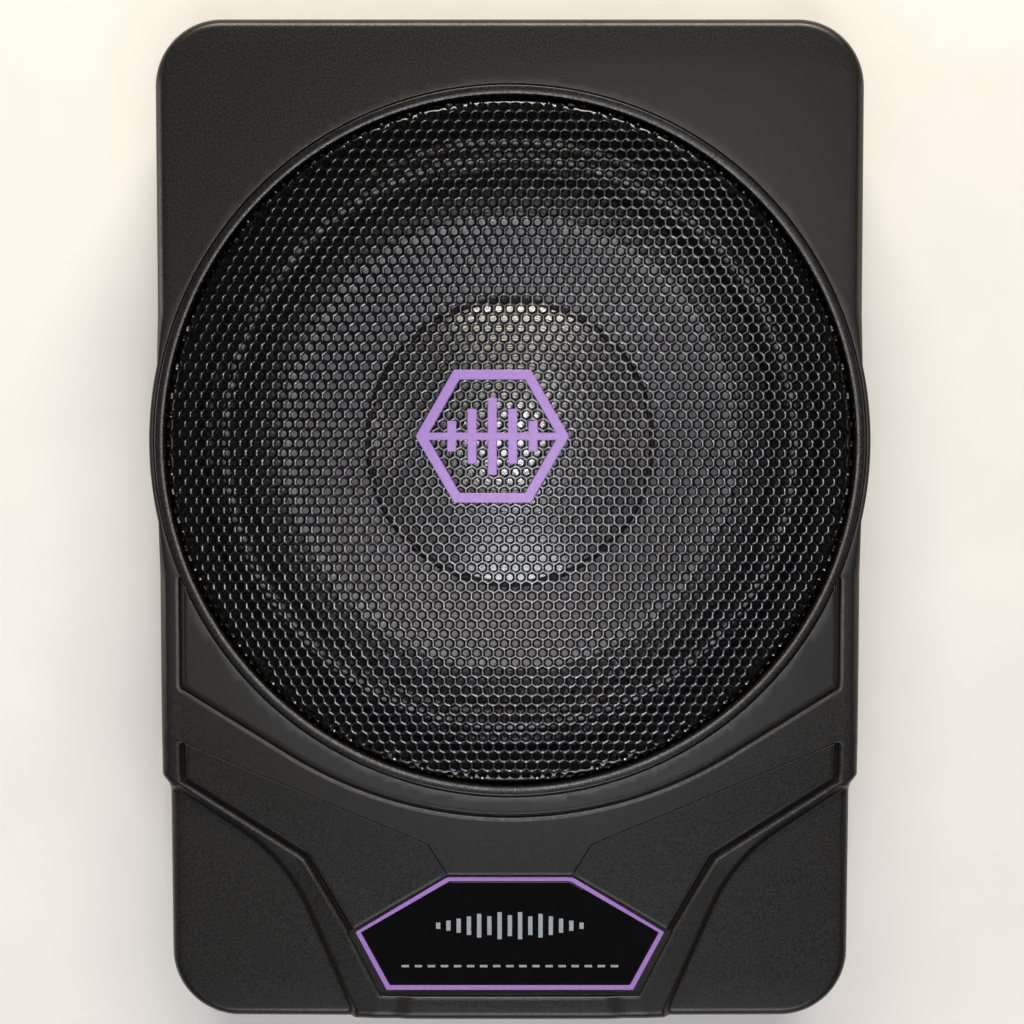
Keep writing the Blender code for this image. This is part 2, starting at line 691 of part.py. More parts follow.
def make_amplifier(board_green, yellow, sleeve_black, copper, aluminium, epoxy):
    helper = helper_material()
    board_low = (-BOARD_HALF_WIDTH, BOARD_Y[0], BOARD_Z[0])
    board = box("amplifier_board", board_low, (BOARD_HALF_WIDTH, BOARD_Y[1], BOARD_Z[1]), board_green)
    notch = [(0.0, 8.0), (10.0, 8.0), (10.0, 18.0), (0.0, 18.0)]
    cut(board, turned("board_notch", notch, helper, 16, (BOARD_HALF_WIDTH, -132.0)))
    base = BOARD_TOP_Z
    toroid = [(8.5, base), (16.0, base), (18.5, base + 3), (18.5, base + 11), (16.0, base + 14)]
    toroid += [(8.5, base + 14), (6.5, base + 11), (6.5, base + 3)]
    turned("power_toroid", toroid, yellow, 20, (-66.0, -126.0))
    for number, x in enumerate((-30.0, -8.0), 1):
        can = [(0.0, base), (9.0, base), (9.0, base + 33), (8.4, base + 34), (0.0, base + 34)]
        turned(f"filter_capacitor_{number}", can, sleeve_black, 16, (x, -122.0))
    coil = [(6.5, base), (12.0, base), (14.0, base + 2.5), (14.0, base + 8.5)]
    coil += [(12.0, base + 11), (6.5, base + 11)]
    turned("output_inductor", coil, copper, 16, (26.0, -126.0))
    outline = [(-14.0, 0.0), (0.0, 0.0), (0.0, 26.0), (-3.0, 26.0), (-3.0, 3.0), (-14.0, 3.0)]
    loops = []
    for x in (50.0, 90.0):
        loops.append([(x, -104.0 + y, base + z) for y, z in outline])
    loft("transistor_clamp", loops, aluminium)
    for number, x in enumerate((61.0, 79.0), 1):
        low = (x - 5.1, -111.8, base + 3.0 + GAP)
        high = (x + 5.1, -107.3, base + 19.0)
        box(f"power_transistor_{number}", low, high, epoxy)


# Control end


def panel_hole(panel, x, z, half_x, half_z, material):
    low = (x - half_x - HOLE_CLEARANCE, PANEL_FRONT_Y - 2, z - half_z - HOLE_CLEARANCE)
    high = (x + half_x + HOLE_CLEARANCE, PANEL_FRONT_Y + 4, z + half_z + HOLE_CLEARANCE)
    cut(panel, box("panel_hole", low, high, material))


def round_panel_hole(panel, x, z, radius, material):
    profile = [(0.0, -4.0), (radius + HOLE_CLEARANCE, -4.0), (radius + HOLE_CLEARANCE, 4.0), (0.0, 4.0)]
    cut(panel, facing_out(turned("round_panel_hole", profile, material, 12), (x, z)))


def make_panel(material):
    helper = helper_material()
    low = (-PANEL_HALF_WIDTH, PANEL_FRONT_Y, PANEL_Z[0])
    high = (PANEL_HALF_WIDTH, PANEL_FRONT_Y + PANEL_THICKNESS, PANEL_Z[1])
    panel = box("control_panel", low, high, material)
    for x, z in RCA_PLACES:
        round_panel_hole(panel, x, z, 4.2, helper)
    for x in KNOB_PLACES.values():
        round_panel_hole(panel, x, KNOB_Z, 3.2, helper)
    for z in SWITCH_PLACES.values():
        panel_hole(panel, SWITCH_X, z, SLIDER_HALF + SLIDER_TRAVEL / 2, SLIDER_HALF, helper)
    panel_hole(panel, *HIGH_LEVEL_PLACE, 9.0, 6.0, helper)
    panel_hole(panel, *POWER_PLACE, 11.0, 6.5, helper)
    panel_hole(panel, *REMOTE_PLACE, 7.0, 6.0, helper)
    panel_hole(panel, *FUSE_PLACE, 10.5, 3.6, helper)
    round_panel_hole(panel, *LIGHT_PLACE, 1.6, helper)


def make_rca_jacks(metal):
    """Threadless phono jacks: a barrel in front of the panel and a flange behind it."""
    back = -PANEL_THICKNESS - GAP
    for name, place in zip(("left", "right"), RCA_PLACES):
        profile = [(0.0, back - 7.0), (5.4, back - 7.0), (5.4, back), (4.2, back), (4.2, 8.4), (3.9, 8.8)]
        profile += [(1.6, 8.8), (1.6, 1.0), (0.0, 1.0)]
        facing_out(turned(f"rca_jack_{name}", profile, metal, 14), place)


def make_socket(name, place, half_x, half_z, front, depth, wall, material):
    """A rectangular connector shroud through the panel, open to the front."""
    x, z = place
    helper = helper_material()
    front_y = PANEL_FRONT_Y - front
    back_y = PANEL_FRONT_Y + PANEL_THICKNESS + 11.0
    socket = box(name, (x - half_x, front_y, z - half_z), (x + half_x, back_y, z + half_z), material)
    low = (x - half_x + wall, front_y - 3.0, z - half_z + wall)
    high = (x + half_x - wall, front_y + depth, z + half_z - wall)
    cut(socket, box(name + "_mouth", low, high, helper))


def make_sockets(black, fuse_plastic):
    make_socket("high_level_socket", HIGH_LEVEL_PLACE, 9.0, 6.0, 1.2, 10.0, 1.3, black)
    make_socket("power_socket", POWER_PLACE, 11.0, 6.5, 1.2, 11.0, 1.4, black)
    make_socket("remote_socket", REMOTE_PLACE, 7.0, 6.0, 1.0, 10.0, 1.2, black)
    make_socket("fuse_holder", FUSE_PLACE, 10.5, 3.6, 1.0, 9.0, 1.2, black)
    x, z = FUSE_PLACE
    front = PANEL_FRONT_Y - 4.0
    box("blade_fuse", (x - 8.9, front, z - 2.0), (x + 8.9, PANEL_FRONT_Y + 6.0, z + 2.0), fuse_plastic)


def make_light(lens):
    back = -PANEL_THICKNESS - 3.0
    profile = [(0.0, back), (1.6, back), (1.6, 0.4), (1.15, 1.1), (0.0, 1.5)]
    facing_out(turned("power_light", profile, lens, 10), LIGHT_PLACE)


def make_pot_and_knob(name, x, pot_metal, knob_plastic):
    """A potentiometer behind the panel, and its knob, whose stem runs in the bushing."""
    place = (x, KNOB_Z)
    back = -PANEL_THICKNESS - GAP
    pot = [(0.0, back - 8.0), (7.5, back - 8.0), (7.5, back), (3.2, back)]
    pot += [(3.2, 1.2), (2.2, 1.2), (2.2, -6.0), (0.0, -6.0)]
    facing_out(turned(f"{name}_pot", pot, pot_metal, 12), place)
    helper = helper_material()
    front = 1.2 + GAP
    profile = [
        (0.0, -5.5),
        (1.8, -5.5),
        (1.8, front),
        (KNOB_RADIUS, front),
        (KNOB_RADIUS - 0.4, front + KNOB_LENGTH - 0.6),
        (KNOB_RADIUS - 1.0, front + KNOB_LENGTH),
        (0.0, front + KNOB_LENGTH),
    ]
    knob = facing_out(turned(f"{name}_knob", profile, knob_plastic, 18), place)
    face_y = PANEL_FRONT_Y - front - KNOB_LENGTH
    low = (x - 0.45, face_y - 1.0, KNOB_Z + 1.0)
    high = (x + 0.45, face_y + 0.6, KNOB_Z + KNOB_RADIUS + 1.0)
    cut(knob, box(f"{name}_pointer", low, high, helper))


def make_slide_switch(name, z, body_metal, slider_plastic):
    helper = helper_material()
    back = PANEL_FRONT_Y + PANEL_THICKNESS + GAP
    low = (SWITCH_X - 6.0, back, z - 3.0)
    body = box(f"{name}_switch", low, (SWITCH_X + 6.0, back + 6.0, z + 3.0), body_metal)
    reach = SLIDER_HALF + SLIDER_TRAVEL / 2 + HOLE_CLEARANCE
    low = (SWITCH_X - reach, back - 1.0, z - SLIDER_HALF - HOLE_CLEARANCE)
    high = (SWITCH_X + reach, back + 2.5, z + SLIDER_HALF + HOLE_CLEARANCE)
    cut(body, box(f"{name}_slot", low, high, helper))
    x = SWITCH_X - SLIDER_TRAVEL / 2
    front = PANEL_FRONT_Y - 2.6
    low = (x - SLIDER_HALF, front, z - SLIDER_HALF)
    high = (x + SLIDER_HALF, back + 2.0, z + SLIDER_HALF)
    slider = box(f"{name}_slider", low, high, slider_plastic)
    modifier = slider.modifiers.new("edges", "BEVEL")
    modifier.width = 0.3 * MM
    modifier.segments = 1


def main():
    clear_scene()
    make_housing(finish("cast_aluminium_black", (0.035, 0.033, 0.034), 0.55, 0.2))
    steel = finish("zinc_steel", (0.45, 0.45, 0.44), 0.4, 0.9)
    black_steel = finish("black_painted_steel", (0.02, 0.02, 0.02), 0.5, 0.3)
    foam = finish("black_foam", (0.015, 0.015, 0.015), 0.95)
    rubber = finish("black_rubber", (0.02, 0.02, 0.022), 0.75)
    screw_steel = finish("black_screw", (0.03, 0.03, 0.03), 0.4, 0.8)
    gloss = finish("gloss_black_plastic", (0.006, 0.005, 0.006), 0.12)
    purple = finish("purple_paint", (0.35, 0.2, 0.63), 0.35)
    black_plastic = finish("black_plastic", (0.02, 0.02, 0.02), 0.45)
    aluminium = finish("brushed_aluminium", (0.6, 0.6, 0.6), 0.3, 1.0)
    copper = finish("enamelled_copper", (0.55, 0.22, 0.08), 0.35, 0.8)
    make_base(black_steel, foam, rubber, screw_steel)
    make_grille(black_steel, gloss, purple)
    make_nameplate(gloss, purple)
    make_basket(black_steel)
    make_surround(rubber, foam)
    make_cone(finish("grey_cone", (0.16, 0.16, 0.16), 0.35, 0.7), aluminium)
    cloth = finish("resin_cloth", (0.45, 0.3, 0.12), 0.85)
    ferrite = finish("ferrite", (0.05, 0.05, 0.055), 0.6)
    make_motor(finish("former_film", (0.35, 0.2, 0.08), 0.4), copper, cloth, steel, ferrite)
    make_leads(black_plastic, finish("tinsel_braid", (0.6, 0.58, 0.5), 0.5, 0.8), black_plastic)
    board_green = finish("board_green", (0.02, 0.12, 0.05), 0.4)
    epoxy = finish("black_epoxy", (0.02, 0.02, 0.02), 0.5)
    sleeve = finish("capacitor_sleeve", (0.02, 0.025, 0.06), 0.35)
    yellow = finish("winding_yellow", (0.5, 0.3, 0.06), 0.5)
    make_amplifier(board_green, yellow, sleeve, copper, aluminium, epoxy)
    make_panel(black_plastic)
    make_rca_jacks(finish("nickel", (0.7, 0.66, 0.58), 0.25, 1.0))
    make_sockets(black_plastic, finish("fuse_blue", (0.05, 0.15, 0.55), 0.25))
    make_light(finish("light_lens", (0.1, 0.2, 0.7), 0.2))
    knob_plastic = finish("knob_plastic", (0.03, 0.03, 0.03), 0.5)
    for name, x in KNOB_PLACES.items():
        make_pot_and_knob(name, x, steel, knob_plastic)
    for name, z in SWITCH_PLACES.items():
        make_slide_switch(name, z, steel, knob_plastic)


main()
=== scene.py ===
"""Looks of the powered under-seat subwoofer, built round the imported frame.

Shapes are worked out in millimetres, and MM turns them into metres where a mesh is made. Places come
from the frame's boxes; the numbers below are the fine shapes that the frame leaves out.
"""

import json
import math

import bmesh
import bpy
import numpy as np
from mathutils import Matrix, Vector
from mathutils.geometry import delaunay_2d_cdt


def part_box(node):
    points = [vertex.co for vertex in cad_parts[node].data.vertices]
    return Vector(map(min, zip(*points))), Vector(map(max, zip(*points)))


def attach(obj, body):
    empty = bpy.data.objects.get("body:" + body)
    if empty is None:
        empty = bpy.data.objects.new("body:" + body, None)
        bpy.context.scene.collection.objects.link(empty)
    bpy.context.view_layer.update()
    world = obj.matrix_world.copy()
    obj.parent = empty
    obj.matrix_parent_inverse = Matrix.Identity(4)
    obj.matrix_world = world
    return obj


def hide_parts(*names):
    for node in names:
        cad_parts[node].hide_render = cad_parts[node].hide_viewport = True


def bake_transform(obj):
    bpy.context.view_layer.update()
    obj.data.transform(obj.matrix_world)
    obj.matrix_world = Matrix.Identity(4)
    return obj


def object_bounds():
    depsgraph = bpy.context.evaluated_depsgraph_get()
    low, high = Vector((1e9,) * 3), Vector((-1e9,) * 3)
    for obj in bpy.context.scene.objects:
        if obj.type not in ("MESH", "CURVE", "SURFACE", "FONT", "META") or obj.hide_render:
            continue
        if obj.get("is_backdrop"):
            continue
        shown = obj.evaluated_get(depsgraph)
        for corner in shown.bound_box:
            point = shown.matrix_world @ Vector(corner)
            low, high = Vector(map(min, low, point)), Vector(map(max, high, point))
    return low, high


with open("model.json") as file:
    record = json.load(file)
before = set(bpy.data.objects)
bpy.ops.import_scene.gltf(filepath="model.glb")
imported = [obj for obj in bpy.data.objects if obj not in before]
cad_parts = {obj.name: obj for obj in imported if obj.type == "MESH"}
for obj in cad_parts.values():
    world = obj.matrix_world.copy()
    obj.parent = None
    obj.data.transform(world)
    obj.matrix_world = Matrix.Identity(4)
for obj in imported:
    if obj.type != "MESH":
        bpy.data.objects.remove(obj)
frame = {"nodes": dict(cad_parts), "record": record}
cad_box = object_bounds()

MM = 0.001


def box_mm(node):
    low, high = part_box(node)
    return np.array(low) / MM, np.array(high) / MM


def middle(node):
    low, high = box_mm(node)
    return (low + high) / 2


# Places and sizes read from the frame

HOUSE_LOW, HOUSE_HIGH = box_mm("top_housing")
RING_LOW, RING_HIGH = box_mm("grille_ring")
PANEL_LOW, PANEL_HIGH = box_mm("control_panel")
GRILLE_TOP = box_mm("grille")[1][2]
PLATE_TOP = box_mm("nameplate")[1][2]
MOUTH = ((RING_LOW + RING_HIGH) / 2)[:2]
MOUTH_Y = MOUTH[1]
RING_OUTER = (RING_HIGH[0] - RING_LOW[0]) / 2
SEAT_RADIUS = RING_OUTER + 0.4
WELL_RADIUS = 119.3
SEAT_Z = RING_LOW[2] - 0.3
DECK_Z = HOUSE_HIGH[2]
BOTTOM_Z = HOUSE_LOW[2]
LENGTH = HOUSE_HIGH[1] - HOUSE_LOW[1]
PANEL_FRONT = PANEL_LOW[1]
CAP_LOW, CAP_HIGH = box_mm("dust_cap")
CONE_LOW, CONE_HIGH = box_mm("cone")
SURROUND_LOW, SURROUND_HIGH = box_mm("surround")

# Housing outline and surface

BODY_HALF_WIDTH = 122.0
TAIL_HALF_WIDTH = 119.6
TAIL_STEP_Y = -88.8
TAIL_STEP_REACH = 2.2
HEAD_CORNER = 23.0
TAIL_CORNER = 23.5
RIDGE_HALF_WIDTH = 55.0
RIDGE_PROUD = 0.3
BULGE_RADIUS = 125.0
FILLET = 3.4
BULGE_FILLET = 0.6
MOUTH_LIP = 0.8
LEDGE_Z = 55.7
LEDGE_BOTTOM_Z = 51.7
DRIVER_HOLE = 108.0
WALL = 3.0
END_WALL_Y = -163.3
TAIL_SLOPE = 0.025
FACET_SLOPE = 0.03
FACET_STEP = 0.16
FLANK_FALL = 0.9
CORNER_STEP = 2.0
CORNER_STEP_REACH = 1.1
# Distance past the wall and drop: a rounded edge, then a shallow slope that catches the light
LIP = [(0.0, 0.42), (0.12, 0.3), (0.28, 0.155), (0.42, 0.125), (0.9, 0.055), (1.25, 0.0)]
LIP_MARGIN = 1.5
WALL_RUN = 0.12  # how far a recess's wall leans in before it reaches the floor
GROOVE_BED = 0.1  # half width of the narrow bed at the bottom of a groove
NOTCH_DEPTH = 0.22
FINE_GROOVE = (1.1, 1.7)
BROAD_GROOVE = (2.1, 2.0)
GROOVE_X = 114.4
RECESS_FLOOR_Z = 65.7
BAY_HALF_WIDTH = 98.0
BAY_Z = (9.0, 53.0)
FEATURE_STEP = 2.5  # spacing of the points laid along the surface's features
KNOBS = ("gain", "crossover", "bass_boost")


# Mesh helpers


def smooth_shaded(mesh, angle=35.0):
    mesh.shade_smooth()
    mesh.set_sharp_from_angle(angle=math.radians(angle))


def piece(name, verts, faces, material, body="cabinet", angle=35.0):
    """A mesh object from points in millimetres, riding on a body."""
    mesh = bpy.data.meshes.new(name)
    mesh.from_pydata([tuple(float(c) * MM for c in v) for v in verts], [], faces)
    bm = bmesh.new()
    bm.from_mesh(mesh)
    bmesh.ops.recalc_face_normals(bm, faces=bm.faces)
    bm.to_mesh(mesh)
    bm.free()
    mesh.materials.append(material)
    smooth_shaded(mesh, angle)
    made = bpy.data.objects.new(name, mesh)
    bpy.context.collection.objects.link(made)
    if body:
        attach(made, body)
    return made


def stands_for(made, node, slot=None):
    """Hides a CAD node behind the finer piece."""
    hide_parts(node)
    slots = {s["node"]: s["material_slot"] for s in frame["record"]["subparts"]}
    slot or slots[node]
    return made


def ring_faces(rows, closed=False):
    """Faces between neighbouring rings of vertex numbers; a ring at a pole repeats one number."""
    pairs = list(zip(rows, rows[1:]))
    if closed:
        pairs.append((rows[-1], rows[0]))
    faces = []
    for a, b in pairs:
        for i in range(len(a)):
            j = (i + 1) % len(a)
            corners = tuple(dict.fromkeys((a[i], a[j], b[j], b[i])))
            if len(corners) > 2:
                faces.append(corners)
    return faces


def lofted(rows):
    """A solid through closed rows of equally many points, flat at both ends."""
    count = len(rows[0])
    verts = [point for row in rows for point in row]
    numbers = [range(start, start + count) for start in range(0, len(verts), count)]
    return verts, [tuple(numbers[0]), tuple(reversed(numbers[-1]))] + ring_faces(numbers)


def add_shape(verts, faces, shape):
    """Adds one more closed shape to a growing mesh."""
    more, corners = shape
    faces += [tuple(len(verts) + i for i in face) for face in corners]
    verts += more


def turned_shape(profile, segments, place):
    """A turned solid; place gives the point at a radius, a height and a turn."""
    verts, rows = [], []
    for radius, height in profile:
        first = len(verts)
        if radius == 0:
            rows.append([first] * segments)
            verts.append(place(0.0, height, 0.0))
            continue
        rows.append(range(first, first + segments))
        verts += [place(radius, height, 2 * math.pi * i / segments) for i in range(segments)]
    return verts, ring_faces(rows, closed=profile[0][0] > 0)


def revolved(name, profile, material, body="cabinet", segments=128, centre=MOUTH):
    """A turned piece about a vertical axis, through the middle of the mouth unless a centre is given."""

    def place(radius, height, turn):
        return centre[0] + radius * math.cos(turn), centre[1] + radius * math.sin(turn), height

    return piece(name, *turned_shape(profile, segments, place), material, body)


def turned_out(name, profile, material, at, body="cabinet", segments=48, lobes=None):
    """A turned piece whose axis points out of the control panel; profile has radii and heights off it."""
    x, z = at

    def place(radius, height, turn):
        reach = radius * (lobes(turn, height) if lobes else 1.0)
        return x + reach * math.sin(turn), PANEL_FRONT - height, z + reach * math.cos(turn)

    return piece(name, *turned_shape(profile, segments, place), material, body)


def arc(centre, radius, start, end, steps):
    points = []
    for i in range(steps + 1):
        turn = math.radians(start + (end - start) * i / steps)
        points.append((centre[0] + radius * math.cos(turn), centre[1] + radius * math.sin(turn)))
    return points


def rounded_corner(before, corner, after, radius, steps=8):
    """The arc that rounds off a corner between two straight stretches."""
    corner = Vector(corner)
    back = (Vector(before) - corner).normalized()
    onward = (Vector(after) - corner).normalized()
    half_angle = back.angle(onward) / 2
    centre = corner + (back + onward).normalized() * radius / math.sin(half_angle)
    first, last = (corner + way * radius / math.tan(half_angle) - centre for way in (back, onward))
    start, end = (math.degrees(math.atan2(spoke.y, spoke.x)) for spoke in (first, last))
    return arc(centre, radius, start, start + (end - start + 180) % 360 - 180, steps)


def mirrored(half):
    return half + [(-x, y) for x, y in reversed(half) if x > 1e-9]


def spaced(points, step, closed=True):
    """Adds points along the straight stretches of a line, about a step apart."""
    pairs = list(zip(points, points[1:] + (points[:1] if closed else [])))
    dense = []
    for (ax, ay), (bx, by) in pairs:
        count = max(1, round(math.hypot(bx - ax, by - ay) / step))
        for i in range(count):
            t = i / count
            dense.append((ax + (bx - ax) * t, ay + (by - ay) * t))
    if not closed:
        dense.append(points[-1])
    return dense


def mitres(points, closed=True):
    """For each point of a counter-clockwise line, the step that moves it one millimetre to its left."""
    count = len(points)
    steps = []
    for i, here in enumerate(points):
        here = Vector(here)
        before = here - Vector(points[i - 1]) if closed or i else None
        after = Vector(points[(i + 1) % count]) - here if closed or i + 1 < count else None
        before = (before or after).normalized()
        after = (after or before).normalized()
        normal = Vector((-before.y - after.y, before.x + after.x)).normalized()
        steps.append(normal / max(0.4, normal.dot(Vector((-before.y, before.x)))))
    return steps


def offset_line(points, distance, closed=True):
    return [(x + m.x * distance, y + m.y * distance) for (x, y), m in zip(points, mitres(points, closed))]


def stadium(line, distance, cap_steps=6):
    """The closed loop at a distance round an open line, with round ends."""
    left = offset_line(line, distance, closed=False)
    right = offset_line(line, -distance, closed=False)
    loop = list(left)
    for end, inner in ((line[-1], line[-2]), (line[0], line[1])):
        heading = math.degrees(math.atan2(end[1] - inner[1], end[0] - inner[0]))
        loop += arc(end, distance, heading + 90, heading - 90, cap_steps)[1:-1]
        if end == line[-1]:
            loop += list(reversed(right))
    return loop


def distance_to(points, line, closed=False):
    """Distance of each point to a line."""
    line = np.asarray(line, float)
    ends = np.roll(line, -1, axis=0) if closed else line[1:]
    starts = line if closed else line[:-1]
    best = np.full(len(points), 1e9)
    for a, b in zip(starts, ends):
        along = b - a
        t = np.clip((points - a) @ along / max(along @ along, 1e-12), 0, 1)
        gap = points - (a + t[:, None] * along)
        best = np.minimum(best, np.hypot(gap[:, 0], gap[:, 1]))
    return best


def inside(points, polygon):
    """Which points lie inside a closed polygon."""
    polygon = np.asarray(polygon, float)
    within = np.zeros(len(points), bool)
    x, y = points[:, 0], points[:, 1]
    for (ax, ay), (bx, by) in zip(polygon, np.roll(polygon, -1, axis=0)):
        crosses = (ay > y) != (by > y)
        with np.errstate(divide="ignore", invalid="ignore"):
            at = (bx - ax) * (y - ay) / (by - ay) + ax
        within ^= crosses & (x < at)
    return within


def smoothstep(low, high, value):
    t = np.clip((value - low) / (high - low), 0, 1)
    return t * t * (3 - 2 * t)


# Materials


class Shader:
    """A small node-tree builder for one Principled material."""

    def __init__(self, name, colour, roughness, metallic=0.0, **values):
        self.material = bpy.data.materials.new(name)
        self.material.use_nodes = True
        self.tree = self.material.node_tree
        self.main = self.tree.nodes["Principled BSDF"]
        self.colour = colour
        self.roughness = roughness
        self.main.inputs["Base Color"].default_value = (*colour, 1)
        self.main.inputs["Roughness"].default_value = roughness
        self.main.inputs["Metallic"].default_value = metallic
        for socket, value in values.items():
            self.main.inputs[socket.replace("_", " ")].default_value = value
        self.coords = self.tree.nodes.new("ShaderNodeTexCoord").outputs["Object"]

    def node(self, kind, **settings):
        """A node whose settings are its inputs' values or, failing that, its own properties."""
        made = self.tree.nodes.new(kind)
        for key, value in settings.items():
            if key in made.inputs:
                made.inputs[key].default_value = value
            else:
                setattr(made, key, value)
        return made

    def link(self, source, target):
        self.tree.links.new(source, target)

    def noise(self, grain_mm, detail=2.0, stretch=(1, 1, 1)):
        """Noise whose grains are about grain_mm across; stretch scales the axes."""
        mapping = self.node("ShaderNodeMapping", Scale=stretch)
        self.link(self.coords, mapping.inputs["Vector"])
        made = self.node("ShaderNodeTexNoise", Scale=1 / (grain_mm * MM), Detail=detail)
        self.link(mapping.outputs["Vector"], made.inputs["Vector"])
        return made.outputs["Fac"]

    def ramp(self, source, low, high, first=0.35, last=0.65):
        """Maps a 0 to 1 value to a range of greys or colours."""
        made = self.node("ShaderNodeValToRGB")
        for element, value, position in zip(made.color_ramp.elements, (low, high), (first, last)):
            element.position = position
            element.color = (*(value if hasattr(value, "__len__") else (value,) * 3), 1)
        self.link(source, made.inputs["Fac"])
        return made.outputs["Color"]

    def vary_colour(self, grain_mm, spread=0.25, detail=3.0):
        low = tuple(c * (1 - spread) for c in self.colour)
        high = tuple(min(1.0, c * (1 + spread)) for c in self.colour)
        self.link(self.ramp(self.noise(grain_mm, detail), low, high), self.main.inputs["Base Color"])

    def vary_roughness(self, grain_mm, spread=0.08):
        low, high = max(0.02, self.roughness - spread), min(1.0, self.roughness + spread)
        self.link(self.ramp(self.noise(grain_mm), low, high), self.main.inputs["Roughness"])

    def bump(self, grain_mm, height_mm, strength=1.0, detail=2.0, stretch=(1, 1, 1), source=None):
        made = self.node("ShaderNodeBump", Strength=strength, Distance=height_mm * MM)
        self.link(source or self.noise(grain_mm, detail, stretch), made.inputs["Height"])
        if self.main.inputs["Normal"].links:
            self.link(self.main.inputs["Normal"].links[0].from_socket, made.inputs["Normal"])
        self.link(made.outputs["Normal"], self.main.inputs["Normal"])


def surface(name, colour, roughness, tone, gloss, *bumps, metallic=0.0, **values):
    """A material that wanders in tone and gloss, each (grain in mm, spread), over layers of fine bumps."""
    made = Shader(name, colour, roughness, metallic, **values)
    made.vary_colour(*tone)
    if gloss:
        made.vary_roughness(*gloss)
    for layer in bumps:
        made.bump(*layer)
    return made.material


def satin_black(name, colour, roughness):
    return surface(name, colour, roughness, (2.0, 0.2), (1.2, 0.05), (0.8, 0.006, 0.6))


def silver_print(name, colour, roughness, metallic):
    return surface(name, colour, roughness, (0.6, 0.08), (0.4, 0.05), (0.3, 0.004, 0.4), metallic=metallic)


def black_plastic(name, colour, roughness):
    return surface(name, colour, roughness, (1.5, 0.2), (0.8, 0.06), (0.35, 0.012, 0.7))


def bare_metal(name, colour, roughness, stretch=(1, 1, 1), grain_mm=0.5):
    grain = (grain_mm, 0.006, 0.6, 2.0, stretch)
    return surface(name, colour, roughness, (2.0, 0.12), (1.0, 0.08), grain, metallic=1.0)


def clear_plastic(name, colour, roughness):
    """Tinted plastic under a clear gloss."""
    coat = {"Coat_Weight": 0.5, "Coat_Roughness": 0.05}
    return surface(name, colour, roughness, (1.2, 0.15), (0.8, 0.04), (1.5, 0.006, 0.3), **coat)


def spun_metal(name, colour, roughness, anisotropy, ring_mm):
    """Metal turned on a lathe: fine concentric lines round the vertical axis through the mouth."""
    made = Shader(name, colour, roughness, 1.0, Anisotropic=anisotropy, Anisotropic_Rotation=0.25)
    tangent = made.node("ShaderNodeTangent", direction_type="RADIAL", axis="Z")
    made.link(tangent.outputs["Tangent"], made.main.inputs["Tangent"])
    mapping = made.node("ShaderNodeMapping", Location=(-MOUTH[0] * MM, -MOUTH_Y * MM, 0))
    made.link(made.coords, mapping.inputs["Vector"])
    flat = made.node("ShaderNodeVectorMath", operation="MULTIPLY")
    flat.inputs[1].default_value = (1, 1, 0)
    made.link(mapping.outputs["Vector"], flat.inputs[0])
    radius = made.node("ShaderNodeVectorMath", operation="LENGTH")
    made.link(flat.outputs["Vector"], radius.inputs[0])
    noise = made.node("ShaderNodeTexNoise", noise_dimensions="1D", Scale=1 / (ring_mm * MM), Detail=4.0)
    made.link(radius.outputs["Value"], noise.inputs["W"])
    rings = noise.outputs["Fac"]
    low = tuple(c * 0.8 for c in colour)
    high = tuple(min(1.0, c * 1.15) for c in colour)
    made.link(made.ramp(rings, low, high), made.main.inputs["Base Color"])
    made.link(made.ramp(rings, roughness - 0.06, roughness + 0.08), made.main.inputs["Roughness"])
    made.bump(1.0, 0.002, 0.3, source=rings)
    return made.material


def woven(name, colour, roughness, thread_mm):
    """Cloth or tape with crossed threads."""
    made = Shader(name, colour, roughness)
    made.vary_colour(1.0, 0.25)
    scale = 0.314 / (thread_mm * MM)
    for direction in ("X", "Y"):
        wave = made.node("ShaderNodeTexWave", bands_direction=direction, Scale=scale, Distortion=0.6)
        made.link(made.coords, wave.inputs["Vector"])
        made.bump(1.0, 0.08, 0.6, source=wave.outputs["Fac"])
    return made.material


def circuit_board():
    """Green solder mask with patches of track under it."""
    made = Shader("circuit_board", (0.012, 0.10, 0.04), 0.35, Coat_Weight=0.3)
    cells = made.node("ShaderNodeTexVoronoi", distance="CHEBYCHEV", Scale=1 / (6.0 * MM))
    made.link(made.coords, cells.inputs["Vector"])
    colour = made.ramp(cells.outputs["Distance"], (0.03, 0.19, 0.07), (0.01, 0.085, 0.035), 0.3, 0.36)
    made.link(colour, made.main.inputs["Base Color"])
    made.vary_roughness(1.0, 0.08)
    made.bump(0.5, 0.01, 0.4)
    return made.material


POWDER = surface(  # black powder coat: a pebbled skin with tiny glints
    "powder_coat", (0.0078, 0.0074, 0.0073), 0.35, (0.5, 0.3), (0.7, 0.07),
    (0.55, 0.018, 0.9), (6.0, 0.03, 0.25),
)
RING_COAT = surface(  # the same paint on the turned ring, laid smoother than on the cast housing
    "ring_coat", (0.0085, 0.0081, 0.0081), 0.27, (0.8, 0.2), (1.0, 0.05), (0.5, 0.005, 0.5)
)
GRILLE_PAINT = surface("grille_paint", (0.062, 0.062, 0.065), 0.18, (3.0, 0.25), (0.8, 0.04), metallic=1.0)
GLOSS = surface(
    "piano_black", (0.0022, 0.0020, 0.0022), 0.07, (9.0, 0.2), (2.0, 0.03), (14.0, 0.01, 0.3),
    Coat_Weight=0.3, Coat_Roughness=0.03,
)
PURPLE = surface(
    "purple_lacquer", (0.31, 0.165, 0.545), 0.33, (1.3, 0.05), (0.9, 0.05), (0.7, 0.004, 0.5),
    Coat_Weight=0.15, Coat_Roughness=0.2,
)
SILVER = silver_print("silver_print", (0.36, 0.41, 0.46), 0.35, 0.5)
